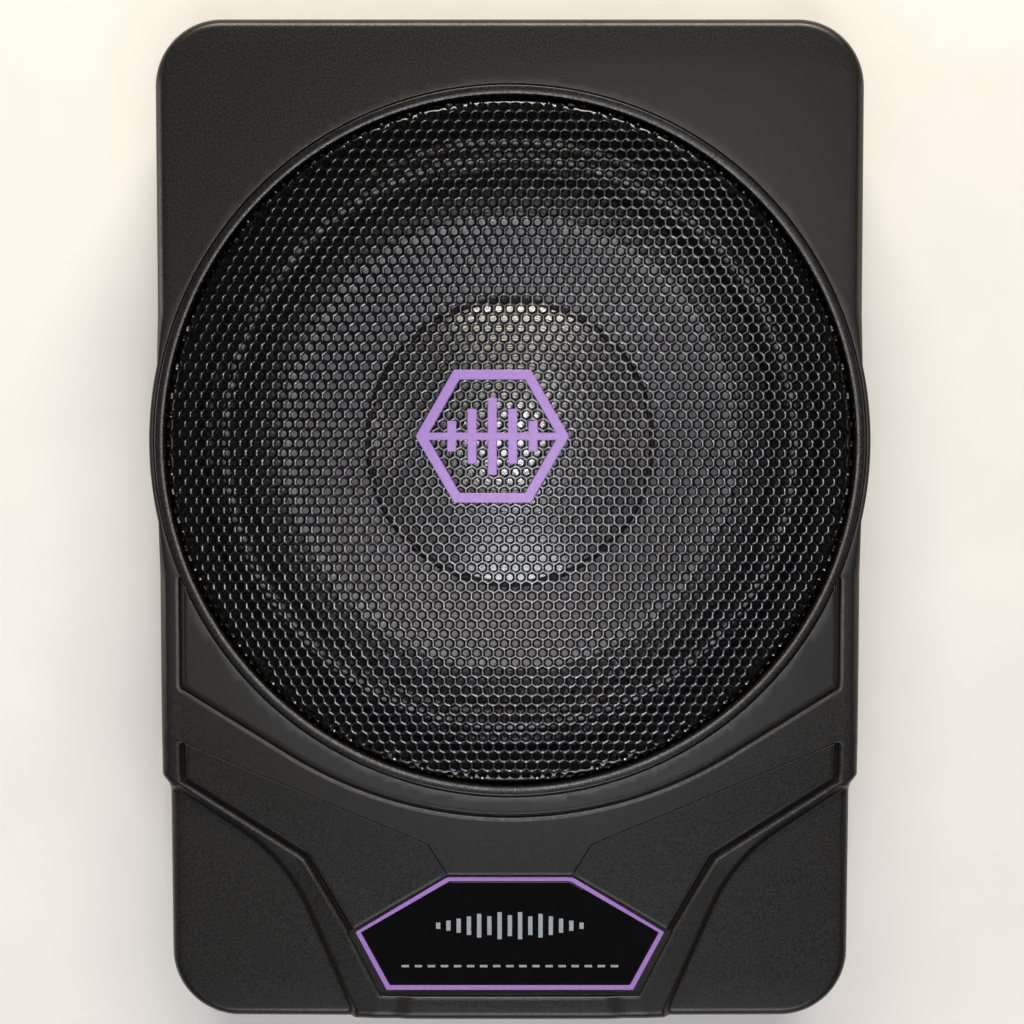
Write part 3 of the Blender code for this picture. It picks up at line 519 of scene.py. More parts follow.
CAP_METAL = spun_metal("spun_cap", (0.88, 0.89, 0.91), 0.28, 0.65, 0.5)
CONE_METAL = spun_metal("spun_cone", (0.36, 0.36, 0.375), 0.38, 0.6, 0.8)
RUBBER = surface("moulded_rubber", (0.016, 0.016, 0.017), 0.27, (4.0, 0.25), (1.5, 0.05), (0.5, 0.01, 0.6))
FOOT_RUBBER = black_plastic("foot_rubber", (0.018, 0.018, 0.019), 0.7)
FOAM = surface("closed_cell_foam", (0.014, 0.014, 0.015), 0.95, (0.8, 0.4), None, (0.6, 0.12, 1.0, 4.0))
PANEL_BLACK = black_plastic("panel_black", (0.016, 0.016, 0.017), 0.42)
SOCKET_BLACK = black_plastic("socket_black", (0.02, 0.02, 0.021), 0.5)
KNOB = black_plastic("knob_black", (0.024, 0.024, 0.025), 0.38)
WHITE_PLASTIC = black_plastic("white_insulator", (0.72, 0.71, 0.68), 0.35)
RED_PLASTIC = black_plastic("red_insulator", (0.55, 0.03, 0.025), 0.35)
FUSE_PLASTIC = clear_plastic("fuse_blue", (0.03, 0.12, 0.62), 0.12)
LENS = clear_plastic("lens_blue", (0.10, 0.18, 0.75), 0.08)
PRINT = silver_print("panel_print", (0.72, 0.72, 0.70), 0.45, 0.0)
SCREW = bare_metal("blackened_screw", (0.09, 0.09, 0.095), 0.36)
NICKEL = bare_metal("nickel_plate", (0.70, 0.66, 0.58), 0.22)
ZINC = bare_metal("zinc_steel", (0.46, 0.46, 0.45), 0.38, grain_mm=0.9)
ALUMINIUM = bare_metal("cast_aluminium", (0.62, 0.62, 0.62), 0.36, grain_mm=0.7)
COPPER = bare_metal("enamelled_copper", (0.62, 0.25, 0.09), 0.3, (1, 1, 8), 0.8)
TINSEL = bare_metal("tinsel_braid", (0.72, 0.68, 0.55), 0.4, (1, 3, 1), 0.35)
BASE_STEEL = satin_black("painted_steel", (0.02, 0.02, 0.021), 0.42)
FERRITE = black_plastic("ferrite", (0.045, 0.045, 0.05), 0.62)
FILM = clear_plastic("former_film", (0.32, 0.19, 0.07), 0.3)
CLOTH = woven("spider_cloth", (0.46, 0.31, 0.12), 0.85, 0.9)
TAPE = woven("toroid_tape", (0.52, 0.33, 0.07), 0.45, 2.2)
JACKET = black_plastic("cable_jacket", (0.018, 0.018, 0.02), 0.55)
SLEEVE = satin_black("capacitor_sleeve", (0.02, 0.026, 0.07), 0.3)
EPOXY = black_plastic("epoxy_case", (0.02, 0.02, 0.02), 0.5)
BOARD = circuit_board()


# Camera, floor and light


def make_stage():
    """A pale floor, soft lights and a camera almost straight above the object."""
    mesh = bpy.data.meshes.new("floor")
    half = 4.0
    corners = [(-half, -half, 0), (half, -half, 0), (half, half, 0), (-half, half, 0)]
    mesh.from_pydata(corners, [], [(0, 1, 2, 3)])
    pale = Shader("pale_floor", (0.86, 0.86, 0.86), 0.75)
    pale.vary_colour(60.0, 0.02)
    pale.bump(3.0, 0.02, 0.2)
    mesh.materials.append(pale.material)
    floor = bpy.data.objects.new("floor", mesh)
    bpy.context.collection.objects.link(floor)
    floor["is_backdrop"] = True

    tilt = math.radians(3.08)
    reach = 0.700
    aim = Vector((0.00075, 0.0053, 0.071))
    data = bpy.data.cameras.new("camera")
    data.sensor_width = 36.0
    data.lens = 71.06
    data.clip_start = 0.01
    camera = bpy.data.objects.new("camera", data)
    camera.location = aim + Vector((0, math.sin(tilt), math.cos(tilt))) * reach
    camera.rotation_euler = (-tilt, 0, 0)
    bpy.context.collection.objects.link(camera)
    bpy.context.scene.camera = camera

    def area(name, place, size, power, colour):
        light = bpy.data.lights.new(name, "AREA")
        light.shape = "RECTANGLE"
        light.size, light.size_y = size
        light.energy = power
        light.color = colour
        made = bpy.data.objects.new(name, light)
        made.location = place
        made.rotation_euler = (Vector((0, 0, 0.05)) - Vector(place)).to_track_quat("-Z", "Y").to_euler()
        made.visible_camera = False
        bpy.context.collection.objects.link(made)

    area("key", (0.1, 1.65, 1.15), (1.6, 0.6), 48.0, (1.0, 0.91, 0.75))
    area("near", (0.06, -1.25, 1.15), (0.9, 0.6), 8.5, (0.94, 0.95, 1.0))
    area("left", (-1.8, 0.1, 0.6), (0.6, 1.4), 12.0, (1.0, 0.92, 0.80))
    area("right", (1.8, 0.1, 0.6), (0.6, 1.4), 6.0, (1.0, 0.82, 0.62))
    area("above", (0.03, 0.04, 0.9), (0.07, 0.44), 0.9, (1.0, 0.98, 0.94))
    area("above_tail", (0.03, -0.11, 0.9), (0.07, 0.14), 0.65, (0.94, 0.93, 1.0))

    world = bpy.data.worlds.new("studio")
    world.use_nodes = True
    background = world.node_tree.nodes["Background"]
    background.inputs["Color"].default_value = (0.93, 0.96, 1.0, 1)
    background.inputs["Strength"].default_value = 0.05
    bpy.context.scene.world = world
    bpy.context.scene.view_settings.view_transform = "Standard"


# Housing


def body_outline():
    """The housing's silhouette from above, counter-clockwise."""
    end, head = -LENGTH / 2, LENGTH / 2
    corner_y = end + RIDGE_PROUD
    bulge = math.degrees(math.acos(BODY_HALF_WIDTH / BULGE_RADIUS))
    half = [(0.0, end), (RIDGE_HALF_WIDTH, end), (RIDGE_HALF_WIDTH + 1.4, corner_y)]
    half += arc((TAIL_HALF_WIDTH - TAIL_CORNER, corner_y + TAIL_CORNER), TAIL_CORNER, -90, 0, 18)
    step = BODY_HALF_WIDTH - TAIL_HALF_WIDTH
    for i in range(7):
        t = i / 6
        rise = t * t * (3 - 2 * t)
        half.append((TAIL_HALF_WIDTH + step * rise, TAIL_STEP_Y + TAIL_STEP_REACH * (2 * t - 1)))
    half += arc((0.0, MOUTH_Y), BULGE_RADIUS, -bulge, bulge, 16)
    corner = (BODY_HALF_WIDTH - HEAD_CORNER, head - HEAD_CORNER)
    half += arc(corner, HEAD_CORNER, 0, 90, 18)
    half.append((0.0, head))
    return mirrored(half)


def recess_outline():
    """The nameplate's recess: a fine gap on the upper sides and a broader ledge on the lower ones."""
    half = [(0.0, -166.0), (45.6, -166.0), (57.2, -143.3), (22.1, -122.4), (0.0, -122.4)]
    return mirrored(half)


def fine_groove():
    """The thin groove: down beside the mouth, and round below it in one flat arc."""
    centre_y, radius, half_chord = 43.6, 145.0, 76.0
    half_angle = math.degrees(math.asin(half_chord / radius))
    sweep = arc((0.0, centre_y), radius, -90 - half_angle, -90 + half_angle, 40)
    corner_y = sweep[0][1] + (GROOVE_X - half_chord) * math.tan(math.radians(half_angle))
    left = arc((-GROOVE_X + 2.0, corner_y + 1.3), 2.0, 180, 238, 4)
    right = arc((GROOVE_X - 2.0, corner_y + 1.3), 2.0, 302, 360, 4)
    return [(-GROOVE_X, -18.0), *left, *sweep, *right, (GROOVE_X, -18.0)]


def broad_groove(side):
    points = [(GROOVE_X, -76.6), (GROOVE_X, -88.7), (71.4, -116.0), (54.5, -145.5)]
    return [(side * x, y) for x, y in points]


def facet_crease(side):
    return [(side * x, y) for x, y in [(GROOVE_X - 1.2, -75.9), (28.6, -111.4), (22.2, -121.8)]]


def brow_line(side):
    """The upper edge of the flank that falls from the ridge to the lowered corner."""
    points = [(124.0, -84.5), (116.6, -89.6), (73.0, -117.4), (58.2, -142.0)]
    points += [(48.2, -166.0), (46.5, -178.0)]
    return [(side * x, y) for x, y in points]


def corner_crease(side):
    """The foot of that flank, where the lowered corner begins: two straight stretches and a wide bend."""
    shoulder, corner, end = (116.5, -91.7), (78.2, -117.7), (52.4, -178.0)
    points = [(124.0, -87.6), shoulder, *rounded_corner(shoulder, corner, end, 63.0), end]
    return [(side * x, y) for x, y in points]


def surface_height(points):
    """Height of the housing's upper face at each (x, y)."""
    points = np.asarray(points, float)
    x = np.abs(points[:, 0])
    y = points[:, 1]
    folded = np.stack([x, y], axis=1)
    groove = np.array([p for p in fine_groove() if p[0] >= 0 and p[1] < -18.1])
    groove = groove[np.argsort(groove[:, 0])]
    edge = np.interp(x, groove[:, 0], groove[:, 1])
    height = DECK_Z - TAIL_SLOPE * np.maximum(0, edge - y)

    crease = facet_crease(1)
    facet = [crease[0], crease[1], crease[2], (40.0, -180.0), (130.0, -180.0), (130.0, -76.0)]
    beyond = np.where(inside(folded, facet), 1.0, -1.0) * distance_to(folded, crease)
    height -= FACET_STEP * smoothstep(-0.12, 0.12, beyond)
    height -= FACET_SLOPE * np.clip(beyond, 0, 22)
    height -= NOTCH_DEPTH * (1 - smoothstep(0.06, 0.26, np.abs(beyond)))

    brow, foot = brow_line(1), corner_crease(1)
    outer = brow + [(160.0, -176.0), (160.0, -84.0)]
    lowered = foot + [(160.0, -176.0), (160.0, -84.0)]
    on_flank = inside(folded, outer)
    in_corner = inside(folded, lowered)
    to_brow = distance_to(folded, brow)
    to_foot = distance_to(folded, foot)
    across = np.where(on_flank, to_brow / np.maximum(to_brow + to_foot, 1e-6), 0.0)
    height -= FLANK_FALL * np.where(in_corner, 1.0, across)
    past_foot = np.where(in_corner, to_foot, -to_foot)
    height -= CORNER_STEP * smoothstep(-CORNER_STEP_REACH, CORNER_STEP_REACH, past_foot)

    plain = height.copy()
    for line, (width, depth) in ((fine_groove(), FINE_GROOVE), (broad_groove(1), BROAD_GROOVE)):
        gap = distance_to(folded, line) - width / 2
        height = np.minimum(height, plain - lip_drop(gap, depth, width / 2 - GROOVE_BED))
    recess = recess_outline()
    gap = np.where(inside(points, recess), -1.0, 1.0) * distance_to(points, recess, closed=True)
    return np.minimum(height, plain - lip_drop(gap, plain - RECESS_FLOOR_Z, WALL_RUN))


def lip_drop(gap, depth, run):
    """How far the surface lies below its plain level near a wall: a rounded lip, a wall, a floor."""
    places = [place for place, _ in LIP]
    drops = [drop for _, drop in LIP]
    on_lip = np.interp(gap, places, drops)
    wall = np.clip(-gap / run, 0, 1)
    return np.where(gap < 0, LIP[0][1] + (depth - LIP[0][1]) * wall, on_lip)


def chained_loops(edges):
    """Closed loops of vertex numbers from directed boundary edges."""
    following = dict(edges)
    loops = []
    while following:
        start, here = following.popitem()
        loop = [start]
        while here != start:
            loop.append(here)
            here = following.pop(here)
        loops.append(loop)
    return loops


def triangulated(loops, lines, loose):
    """Constrained triangles over closed loops, open lines and loose points, as points and triangles."""
    points, edges = [], []
    for line in loops:
        first, count = len(points), len(line)
        points += line
        edges += [(first + i, first + (i + 1) % count) for i in range(count)]
    for line in lines:
        first = len(points)
        points += line
        edges += [(first + i, first + i + 1) for i in range(len(line) - 1)]
    points += loose
    found = delaunay_2d_cdt([Vector(p) for p in points], edges, [], 1, 1e-5)
    return np.array([tuple(v) for v in found[0]]), np.array([tuple(f) for f in found[2]])


def between(first, second, keep):
    """Triangles over two loops whose middles pass a test, as numbers into both loops laid end to end."""
    edges = [(i, (i + 1) % len(first)) for i in range(len(first))]
    edges += [(len(first) + i, len(first) + (i + 1) % len(second)) for i in range(len(second))]
    found = delaunay_2d_cdt([Vector(p) for p in first + second], edges, [], 1, 1e-7)
    centres = np.array([np.mean([found[0][c] for c in corners], axis=0) for corners in found[2]])
    passed = zip(found[2], keep(centres))
    return [tuple(found[3][c][0] for c in corners) for corners, kept in passed if kept]


def top_face(rim, mouth):
    """The triangulated upper face between the rim and the mouth, with lines laid along every feature."""
    lips = []
    lip_places = [place for place, _ in LIP] + [LIP_MARGIN]
    grooves = [(fine_groove(), FINE_GROOVE)] + [(broad_groove(side), BROAD_GROOVE) for side in (1, -1)]
    for line, (width, _) in grooves:
        dense = spaced(line, FEATURE_STEP, closed=False)
        lips.append(stadium(dense, GROOVE_BED))
        lips += [stadium(dense, width / 2 + place) for place in lip_places]
    recess = spaced(recess_outline(), FEATURE_STEP)
    lips += [offset_line(recess, -place) for place in [-WALL_RUN] + lip_places]
    folds = []
    for side in (1, -1):
        crease = spaced(facet_crease(side), FEATURE_STEP, closed=False)
        folds += [offset_line(crease, gap, closed=False) for gap in (-0.5, -0.26, -0.06, 0.06, 0.26, 0.5)]
        foot = spaced(corner_crease(side), FEATURE_STEP, closed=False)
        folds += [offset_line(foot, gap, closed=False) for gap in (-1.7, -1.1, -0.55, 0.0, 0.55, 1.1, 1.7)]
        folds.append(spaced(brow_line(side), FEATURE_STEP, closed=False))
    features = np.array([p for line in lips + folds for p in line])
    loose = []
    pitch = 2.6
    for j in range(-70, 71):
        for i in range(-50, 51):
            loose.append((pitch * (i + 0.5 * (j % 2)), pitch * 0.866 * j))
    loose = np.array(loose)
    keep = inside(loose, offset_line(rim, 0.9))
    keep &= np.hypot(loose[:, 0], loose[:, 1] - MOUTH_Y) > SEAT_RADIUS + 2.0
    loose = loose[keep]
    near = np.array([np.min(np.hypot(*(features - p).T)) for p in loose])
    loose = [tuple(p) for p in loose[near > 1.0]]
    points, triangles = triangulated([rim, mouth] + lips, folds, loose)
    centres = points[triangles].mean(axis=1)
    keep = inside(centres, rim) & (np.hypot(centres[:, 0], centres[:, 1] - MOUTH_Y) > SEAT_RADIUS + 0.5)
    return points, triangles[keep]


def make_housing():
    outline = spaced(body_outline(), 3.0)
    moves = mitres(outline)
    for i, (x, y) in enumerate(outline):
        if abs(y - TAIL_STEP_Y) < TAIL_STEP_REACH + 0.1:  # inwards, so the tight step keeps its shape
            moves[i] = Vector((-math.copysign(1, x), 0))
    fillets = []
    for x, y in outline:
        near_mouth = math.hypot(x, y - MOUTH_Y) - (SEAT_RADIUS + MOUTH_LIP)
        fillets.append(min(FILLET, max(BULGE_FILLET, 0.55 * near_mouth)))
    rim = [(x + m.x * f, y + m.y * f) for (x, y), m, f in zip(outline, moves, fillets)]
    mouth_count = 288
    lip = SEAT_RADIUS + MOUTH_LIP
    mouth = arc(MOUTH, lip, 0, 360, mouth_count)[:-1]
    points, triangles = top_face(rim, mouth)

    heights = surface_height(points)
    verts = [(x, y, z) for (x, y), z in zip(points, heights)]
    faces = [tuple(int(i) for i in t) for t in triangles]
    directed = {(t[i], t[(i + 1) % 3]) for t in faces for i in range(3)}
    loops = chained_loops([e for e in directed if (e[1], e[0]) not in directed])
    loops = sorted(loops, key=len, reverse=True)[:2]
    near_mouth = [np.hypot(*(points[loop[0]] - MOUTH)) < lip + 0.1 for loop in loops]
    mouth_loop = loops[near_mouth.index(True)]
    rim_loop = loops[near_mouth.index(False)]

    rim_points, wall_points, radii = np.array(rim), np.array(outline), np.array(fillets)
    ends = np.roll(rim_points, -1, axis=0)

    def mate(p):
        """Where a rim point's fillet meets the wall, and the fillet's radius there."""
        along = ends - rim_points
        t = np.clip(((p - rim_points) * along).sum(1) / (along * along).sum(1), 0, 1)
        gap = np.hypot(*(rim_points + t[:, None] * along - p).T)
        i = int(np.argmin(gap))
        j = (i + 1) % len(rim_points)
        share = t[i]
        wall = wall_points[i] * (1 - share) + wall_points[j] * share
        return wall, radii[i] * (1 - share) + radii[j] * share

    def row(loop, place):
        """Adds one more row of points along a loop."""
        first = len(verts)
        verts.extend(place(i, k) for k, i in enumerate(loop))
        return list(range(first, first + len(loop)))

    def moved_in(i, k, distance):
        """The wall's foot below a rim point, moved in from the wall."""
        wall = mates[k][0]
        return wall + (points[i] - wall) / max(np.hypot(*(points[i] - wall)), 1e-6) * distance

    mates = [mate(points[i]) for i in rim_loop]
    fillet_steps = 7
    rows = [rim_loop]
    for step in range(1, fillet_steps + 1):
        turn = math.pi / 2 * step / fillet_steps

        def on_fillet(i, k, turn=turn):
            wall, radius = mates[k]
            at = points[i] + (wall - points[i]) * math.sin(turn)
            return (*at, heights[i] - radius * (1 - math.cos(turn)))

        rows.append(row(rim_loop, on_fillet))
    for z, inwards in ((40.0, 0.0), (BOTTOM_Z + 0.8, 0.0), (BOTTOM_Z, 0.6)):
        rows.append(row(rim_loop, lambda i, k, z=z, inwards=inwards: (*moved_in(i, k, inwards), z)))

    def on_inner(i, k, z):
        at = moved_in(i, k, WALL)
        return (at[0], max(at[1], END_WALL_Y), z)

    inner_low = row(rim_loop, lambda i, k: on_inner(i, k, BOTTOM_Z))
    inner_high = row(rim_loop, lambda i, k: on_inner(i, k, LEDGE_BOTTOM_Z))
    faces += ring_faces(rows + [inner_low, inner_high])

    def ring(radius, z):
        return row(mouth_loop, lambda i, k: (*(MOUTH + (points[i] - MOUTH) * radius / lip), z))

    mouth_rows = [mouth_loop]
    for radius, z in (
        (SEAT_RADIUS + MOUTH_LIP * 0.6, DECK_Z - 0.06),
        (SEAT_RADIUS + MOUTH_LIP * 0.25, DECK_Z - 0.25),
        (SEAT_RADIUS, DECK_Z - 0.75),
        (SEAT_RADIUS, SEAT_Z),
        (WELL_RADIUS, SEAT_Z),
        (WELL_RADIUS, LEDGE_Z),
        (DRIVER_HOLE, LEDGE_Z),
        (DRIVER_HOLE, LEDGE_BOTTOM_Z),
    ):
        mouth_rows.append(ring(radius, z))
    faces += ring_faces(mouth_rows)

    inner_flat, hole_flat = ([tuple(verts[i][:2]) for i in loop] for loop in (inner_high, mouth_rows[-1]))
    numbers = inner_high + mouth_rows[-1]

    def on_ledge(centres):
        return (np.hypot(*(centres - MOUTH).T) > DRIVER_HOLE * 0.9995) & inside(centres, inner_flat)

    faces += [tuple(numbers[c] for c in corners) for corners in between(inner_flat, hole_flat, on_ledge)]

    shell = piece("housing_shell", verts, faces, POWDER, angle=40.0)
    cut_bay(shell)
    return stands_for(shell, "top_housing")


def rounded_rectangle(half_x, z_low, z_high, radius, steps=6):
    points = []
    for cx, cz, start in (
        (half_x - radius, z_low + radius, -90),
        (half_x - radius, z_high - radius, 0),
        (-half_x + radius, z_high - radius, 90),
        (-half_x + radius, z_low + radius, 180),
    ):
        points += arc((cx, cz), radius, start, start + 90, steps)
    return points


def cut_bay(shell):
    """Cuts the control bay through the end wall, with a chamfered mouth."""
    low, high = BAY_Z
    rows = []
    for y, grow in ((-190.0, 18.2), (-173.6, 1.8), (-172.2, 0.4), (-171.6, 0.0), (END_WALL_Y + 3.0, 0.0)):
        outline = rounded_rectangle(BAY_HALF_WIDTH + grow, low - grow, high + grow, 3.0 + grow)
        rows.append([(x, y, z) for x, z in outline])
    cut_by(shell, [piece("bay_cutter", *lofted(rows), POWDER, body=None)])


# Grille


def make_ring():
    """The trim ring: a crisp inner edge and a band that falls gently to a rounded outer edge."""
    low, high = RING_LOW[2], RING_HIGH[2]
    inner, outer = RING_OUTER - 3.1, RING_OUTER
    profile = [(inner, low), (inner, high - 0.6), (inner + 0.05, high - 0.35), (inner + 0.16, high - 0.16)]
    profile += [(inner + 0.34, high - 0.11), (inner + 1.0, high - 0.015), (inner + 1.2, high)]
    profile += [(outer - 0.9, high - 0.02), (outer - 0.3, high - 0.06), (outer - 0.12, high - 0.16)]
    profile += [(outer - 0.03, high - 0.34), (outer, high - 0.6), (outer, low)]
    return stands_for(revolved("grille_trim_ring", profile, RING_COAT, segments=240), "grille_ring")


def dish_point(reach, below):
    """A point of the pressed grille sheet: reach is the distance from its middle along the sheet."""
    crown = GRILLE_TOP
    bend_start, bend_radius = 115.8, 3.4
    first, last = math.radians(1.5), math.radians(75)
    dome = 1.35
    if reach <= bend_start:
        radius = reach
        z = crown - dome * (reach / bend_start) ** 2
        slope = first * reach / bend_start
    else:
        turned = min((reach - bend_start) / bend_radius, last - first)
        rest = max(0.0, reach - bend_start - bend_radius * (last - first))
        slope = first + turned
        radius = bend_start + bend_radius * (math.sin(slope) - math.sin(first)) + rest * math.cos(slope)
        z = crown - dome - bend_radius * (math.cos(first) - math.cos(slope)) - rest * math.sin(slope)
    return radius - below * math.sin(slope), z - below * math.cos(slope)


def bridge(outer_turns, inner_turns):
    """Triangles between two rings round one centre, as (ring, number) corners with the face up."""
    outer_count, inner_count = len(outer_turns), len(inner_turns)
    outer_turns = list(outer_turns) + [outer_turns[0] + 360]
    inner_turns = list(inner_turns) + [inner_turns[0] + 360]
    faces = []
    i = j = 0
    while i < outer_count or j < inner_count:
        take_outer = j == inner_count or (i < outer_count and outer_turns[i + 1] <= inner_turns[j + 1])
        here, there = ("outer", i % outer_count), ("inner", j % inner_count)
        if take_outer:
            faces.append((here, ("outer", (i + 1) % outer_count), there))
            i += 1
        else:
            faces.append((here, ("inner", (j + 1) % inner_count), there))
            j += 1
    return faces


def make_grille():
    """A perforated sheet: round holes with rolled rims in staggered rows, pressed into a shallow dish."""
    pitch, edge_reach = 3.82, 123.4
    rim, hole = (1.43, 0.135), (1.12, 0.68)  # radius and depth of a hole's rim and of its throat
    thickness = 0.9
    corner = pitch / math.sqrt(3)
    row_gap = pitch * math.sqrt(3) / 2
    corner_turns = [30 + 60 * k for k in range(6)]
    round_turns = [18 + 36 * k for k in range(10)]
    pattern = bridge(corner_turns, round_turns)
    flat, depths, faces = [], [], []
    shared = {}

    def corner_key(x, y, below):
        return round(2 * x / pitch), round(3 * y / row_gap), below

    def vertex(x, y, below):
        flat.append((x, y))
        depths.append(below)
        return len(flat) - 1

    def shared_vertex(x, y, below):
        key = corner_key(x, y, below)
        if key not in shared:
            shared[key] = vertex(x, y, below)
        return shared[key]

    def ring(cx, cy, turns, radius, below, make):
        spokes = [math.radians(turn) for turn in turns]
        return [make(cx + radius * math.cos(t), cy + radius * math.sin(t), below) for t in spokes]

    top_edges = set()
    span = int(edge_reach / row_gap) + 1
    for j in range(-span, span + 1):
        for i in range(-span - 4, span + 5):
            cx, cy = pitch * (i + 0.5 * (j % 2)), row_gap * j
            if math.hypot(cx, cy) + corner > edge_reach - 0.3:
                continue
            top = ring(cx, cy, corner_turns, corner, 0.0, shared_vertex)
            low = ring(cx, cy, corner_turns, corner, thickness, shared_vertex)
            rolled = ring(cx, cy, round_turns, rim[0], rim[1], vertex)
            throat = ring(cx, cy, round_turns, hole[0], hole[1], vertex)
            rings = {"outer": top, "inner": rolled}
            faces += [tuple(rings[kind][k] for kind, k in face) for face in pattern]
            rings = {"outer": low, "inner": throat}
            faces += [tuple(rings[kind][k] for kind, k in reversed(face)) for face in pattern]
            faces += ring_faces([rolled, throat])
            top_edges.update((top[k], top[(k + 1) % 6]) for k in range(6))

    loop = max(chained_loops([e for e in top_edges if (e[1], e[0]) not in top_edges]), key=len)
    low_loop = [shared[corner_key(*flat[number], thickness)] for number in loop]
    edge = arc((0, 0), edge_reach, 0, 360, 240)[:-1]
    edge_top = [vertex(x, y, 0.0) for x, y in edge]
    edge_low = [vertex(x, y, thickness) for x, y in edge]
    tops, lows = loop + edge_top, low_loop + edge_low
    ragged = [flat[i] for i in loop]
    for corners in between(ragged, edge, lambda centres: ~inside(centres, ragged)):
        faces.append(tuple(tops[c] for c in corners))
        faces.append(tuple(lows[c] for c in reversed(corners)))
    for i in range(len(edge)):
        j = (i + 1) % len(edge)
        faces.append((edge_top[i], edge_low[i], edge_low[j], edge_top[j]))

    verts = []
    for (x, y), below in zip(flat, depths):
        reach = max(math.hypot(x, y), 1e-9)
        radius, z = dish_point(reach, below)
        verts.append((MOUTH[0] + x / reach * radius, MOUTH_Y + y / reach * radius, z))
    return stands_for(piece("grille_mesh", verts, faces, GRILLE_PAINT, angle=32.0), "grille")


# Pieces copied from the frame with softened edges


def softened(name, node, material, width_mm, body="cabinet"):
    """A copy of a CAD node with its flat faces joined up and its edges rounded."""
    bm = bmesh.new()
    bm.from_mesh(frame["nodes"][node].data)
    bmesh.ops.remove_doubles(bm, verts=bm.verts, dist=1e-6)
    flat = math.radians(1)
    bmesh.ops.dissolve_limit(bm, angle_limit=flat, verts=bm.verts, edges=bm.edges, delimit=set())
    mesh = bpy.data.meshes.new(name)
    bm.to_mesh(mesh)
    bm.free()
    mesh.materials.clear()
    mesh.materials.append(material)
    made = bpy.data.objects.new(name, mesh)
    bpy.context.collection.objects.link(made)
    bevel = made.modifiers.new("edges", "BEVEL")
    bevel.width = width_mm * MM
    bevel.segments = 2
    bevel.limit_method = "ANGLE"
    bevel.angle_limit = math.radians(30.0)
    smooth_shaded(mesh)
    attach(made, body)
    return stands_for(made, node)


def make_badge_and_plate():
    softened("emblem", "grille_badge", PURPLE, 0.22)
    softened("nameplate_face", "nameplate", GLOSS, 0.2)
    softened("nameplate_trim", "nameplate_border", PURPLE, 0.18)
    make_plate_graphics()


def make_plate_graphics():
    """A row of level bars with a thin line of short dashes under it: a plain graphic with no letters."""
    verts, faces = [], []

    def bar(x, half_width, low, high):
        start, end = (x - half_width, low, PLATE_TOP - 0.05), (x + half_width, high, PLATE_TOP + 0.06)
        add_shape(verts, faces, block_shape(start, end))

    rise = (2.2, 3.6, 5.0, 6.6, 8.4, 6.6, 9.6)
    levels = (*rise, 7.4, *reversed(rise))
    for number, level in enumerate(levels):
        bar((number - (len(levels) - 1) / 2) * 3.6, 0.75, -140.5 - level / 2, -140.5 + level / 2)
    for number in range(17):
        bar((number - 8) * 4.6, 1.3, -155.3, -154.5)
    made = piece("plate_graphic", verts, faces, SILVER)


# Driver


def make_driver():
    """Dust cap, cone, the glue bead between them, rolled surround and spider as they show through the holes.
    """
    rim = (CAP_HIGH[0] - CAP_LOW[0]) / 2
    base, crown = CAP_LOW[2], CAP_HIGH[2]
    rise = crown - base
    sphere = (rim**2 + rise**2) / (2 * rise)
    reaches = [rim * i / 28 for i in range(29)]
    outer = [(radius, crown - sphere + math.sqrt(sphere**2 - radius**2)) for radius in reaches]
    inner = [(radius * 0.988, z - 0.6) for radius, z in reversed(outer)]
    stands_for(revolved("dust_cap_dome", outer + inner, CAP_METAL, "cone_assembly", 160), "dust_cap")

    rim_z = CONE_HIGH[2]
    neck_radius, neck_z, cone_radius, edge = 25.4, 47.6, 79.0, (CONE_HIGH[0] - CONE_LOW[0]) / 2
    thick, belly = 0.8, 0.9
    wall = []
    for i in range(13):
        t = i / 12
        z = neck_z + (rim_z - neck_z) * t - belly * math.sin(math.pi * t)
        wall.append((neck_radius + (cone_radius - neck_radius) * t, z))
    lip = [(cone_radius + 0.8, rim_z), (edge, rim_z)]
    lip += [(edge, rim_z - thick), (cone_radius + 0.9, rim_z - thick)]
    profile = wall + lip + [(radius, z - thick) for radius, z in reversed(wall)]
    stands_for(revolved("spun_cone", profile, CONE_METAL, "cone_assembly", 160), "cone")

    bead = []
    for i in range(12):
        turn = 2 * math.pi * i / 12
        bead.append((rim + 0.75 + 1.15 * math.cos(turn), base + 0.15 + 0.7 * math.sin(turn)))
    revolved("cap_glue_bead", bead, RUBBER, "cone_assembly", 128)
    make_surround()
    make_spider()


def make_spider():
    """The corrugated cloth that centres the coil, lying clear of the winding at the cone's full travel."""
    low, high = box_mm("spider")
    inner, outer = 25.4, (high[0] - low[0]) / 2
    thick, ripples, height = 0.5, 5.5, 0.5
    crest = high[2] - thick - height
    upper = []
    steps = 88
    for i in range(steps + 1):
        t = i / steps
        window = smoothstep(0.04, 0.14, t) * (1 - smoothstep(0.9, 0.98, t))
        ripple = height * math.sin(2 * math.pi * ripples * t) * window
        foot = (1 - smoothstep(0.02, 0.1, t)) * (low[2] + thick - crest)
        upper.append((outer + (inner - outer) * t, crest + foot + ripple))
    lower = [(radius, z - thick) for radius, z in reversed(upper)]
    stands_for(revolved("spider_cloth_disc", upper + lower, CLOTH, "cabinet", 96), "spider")


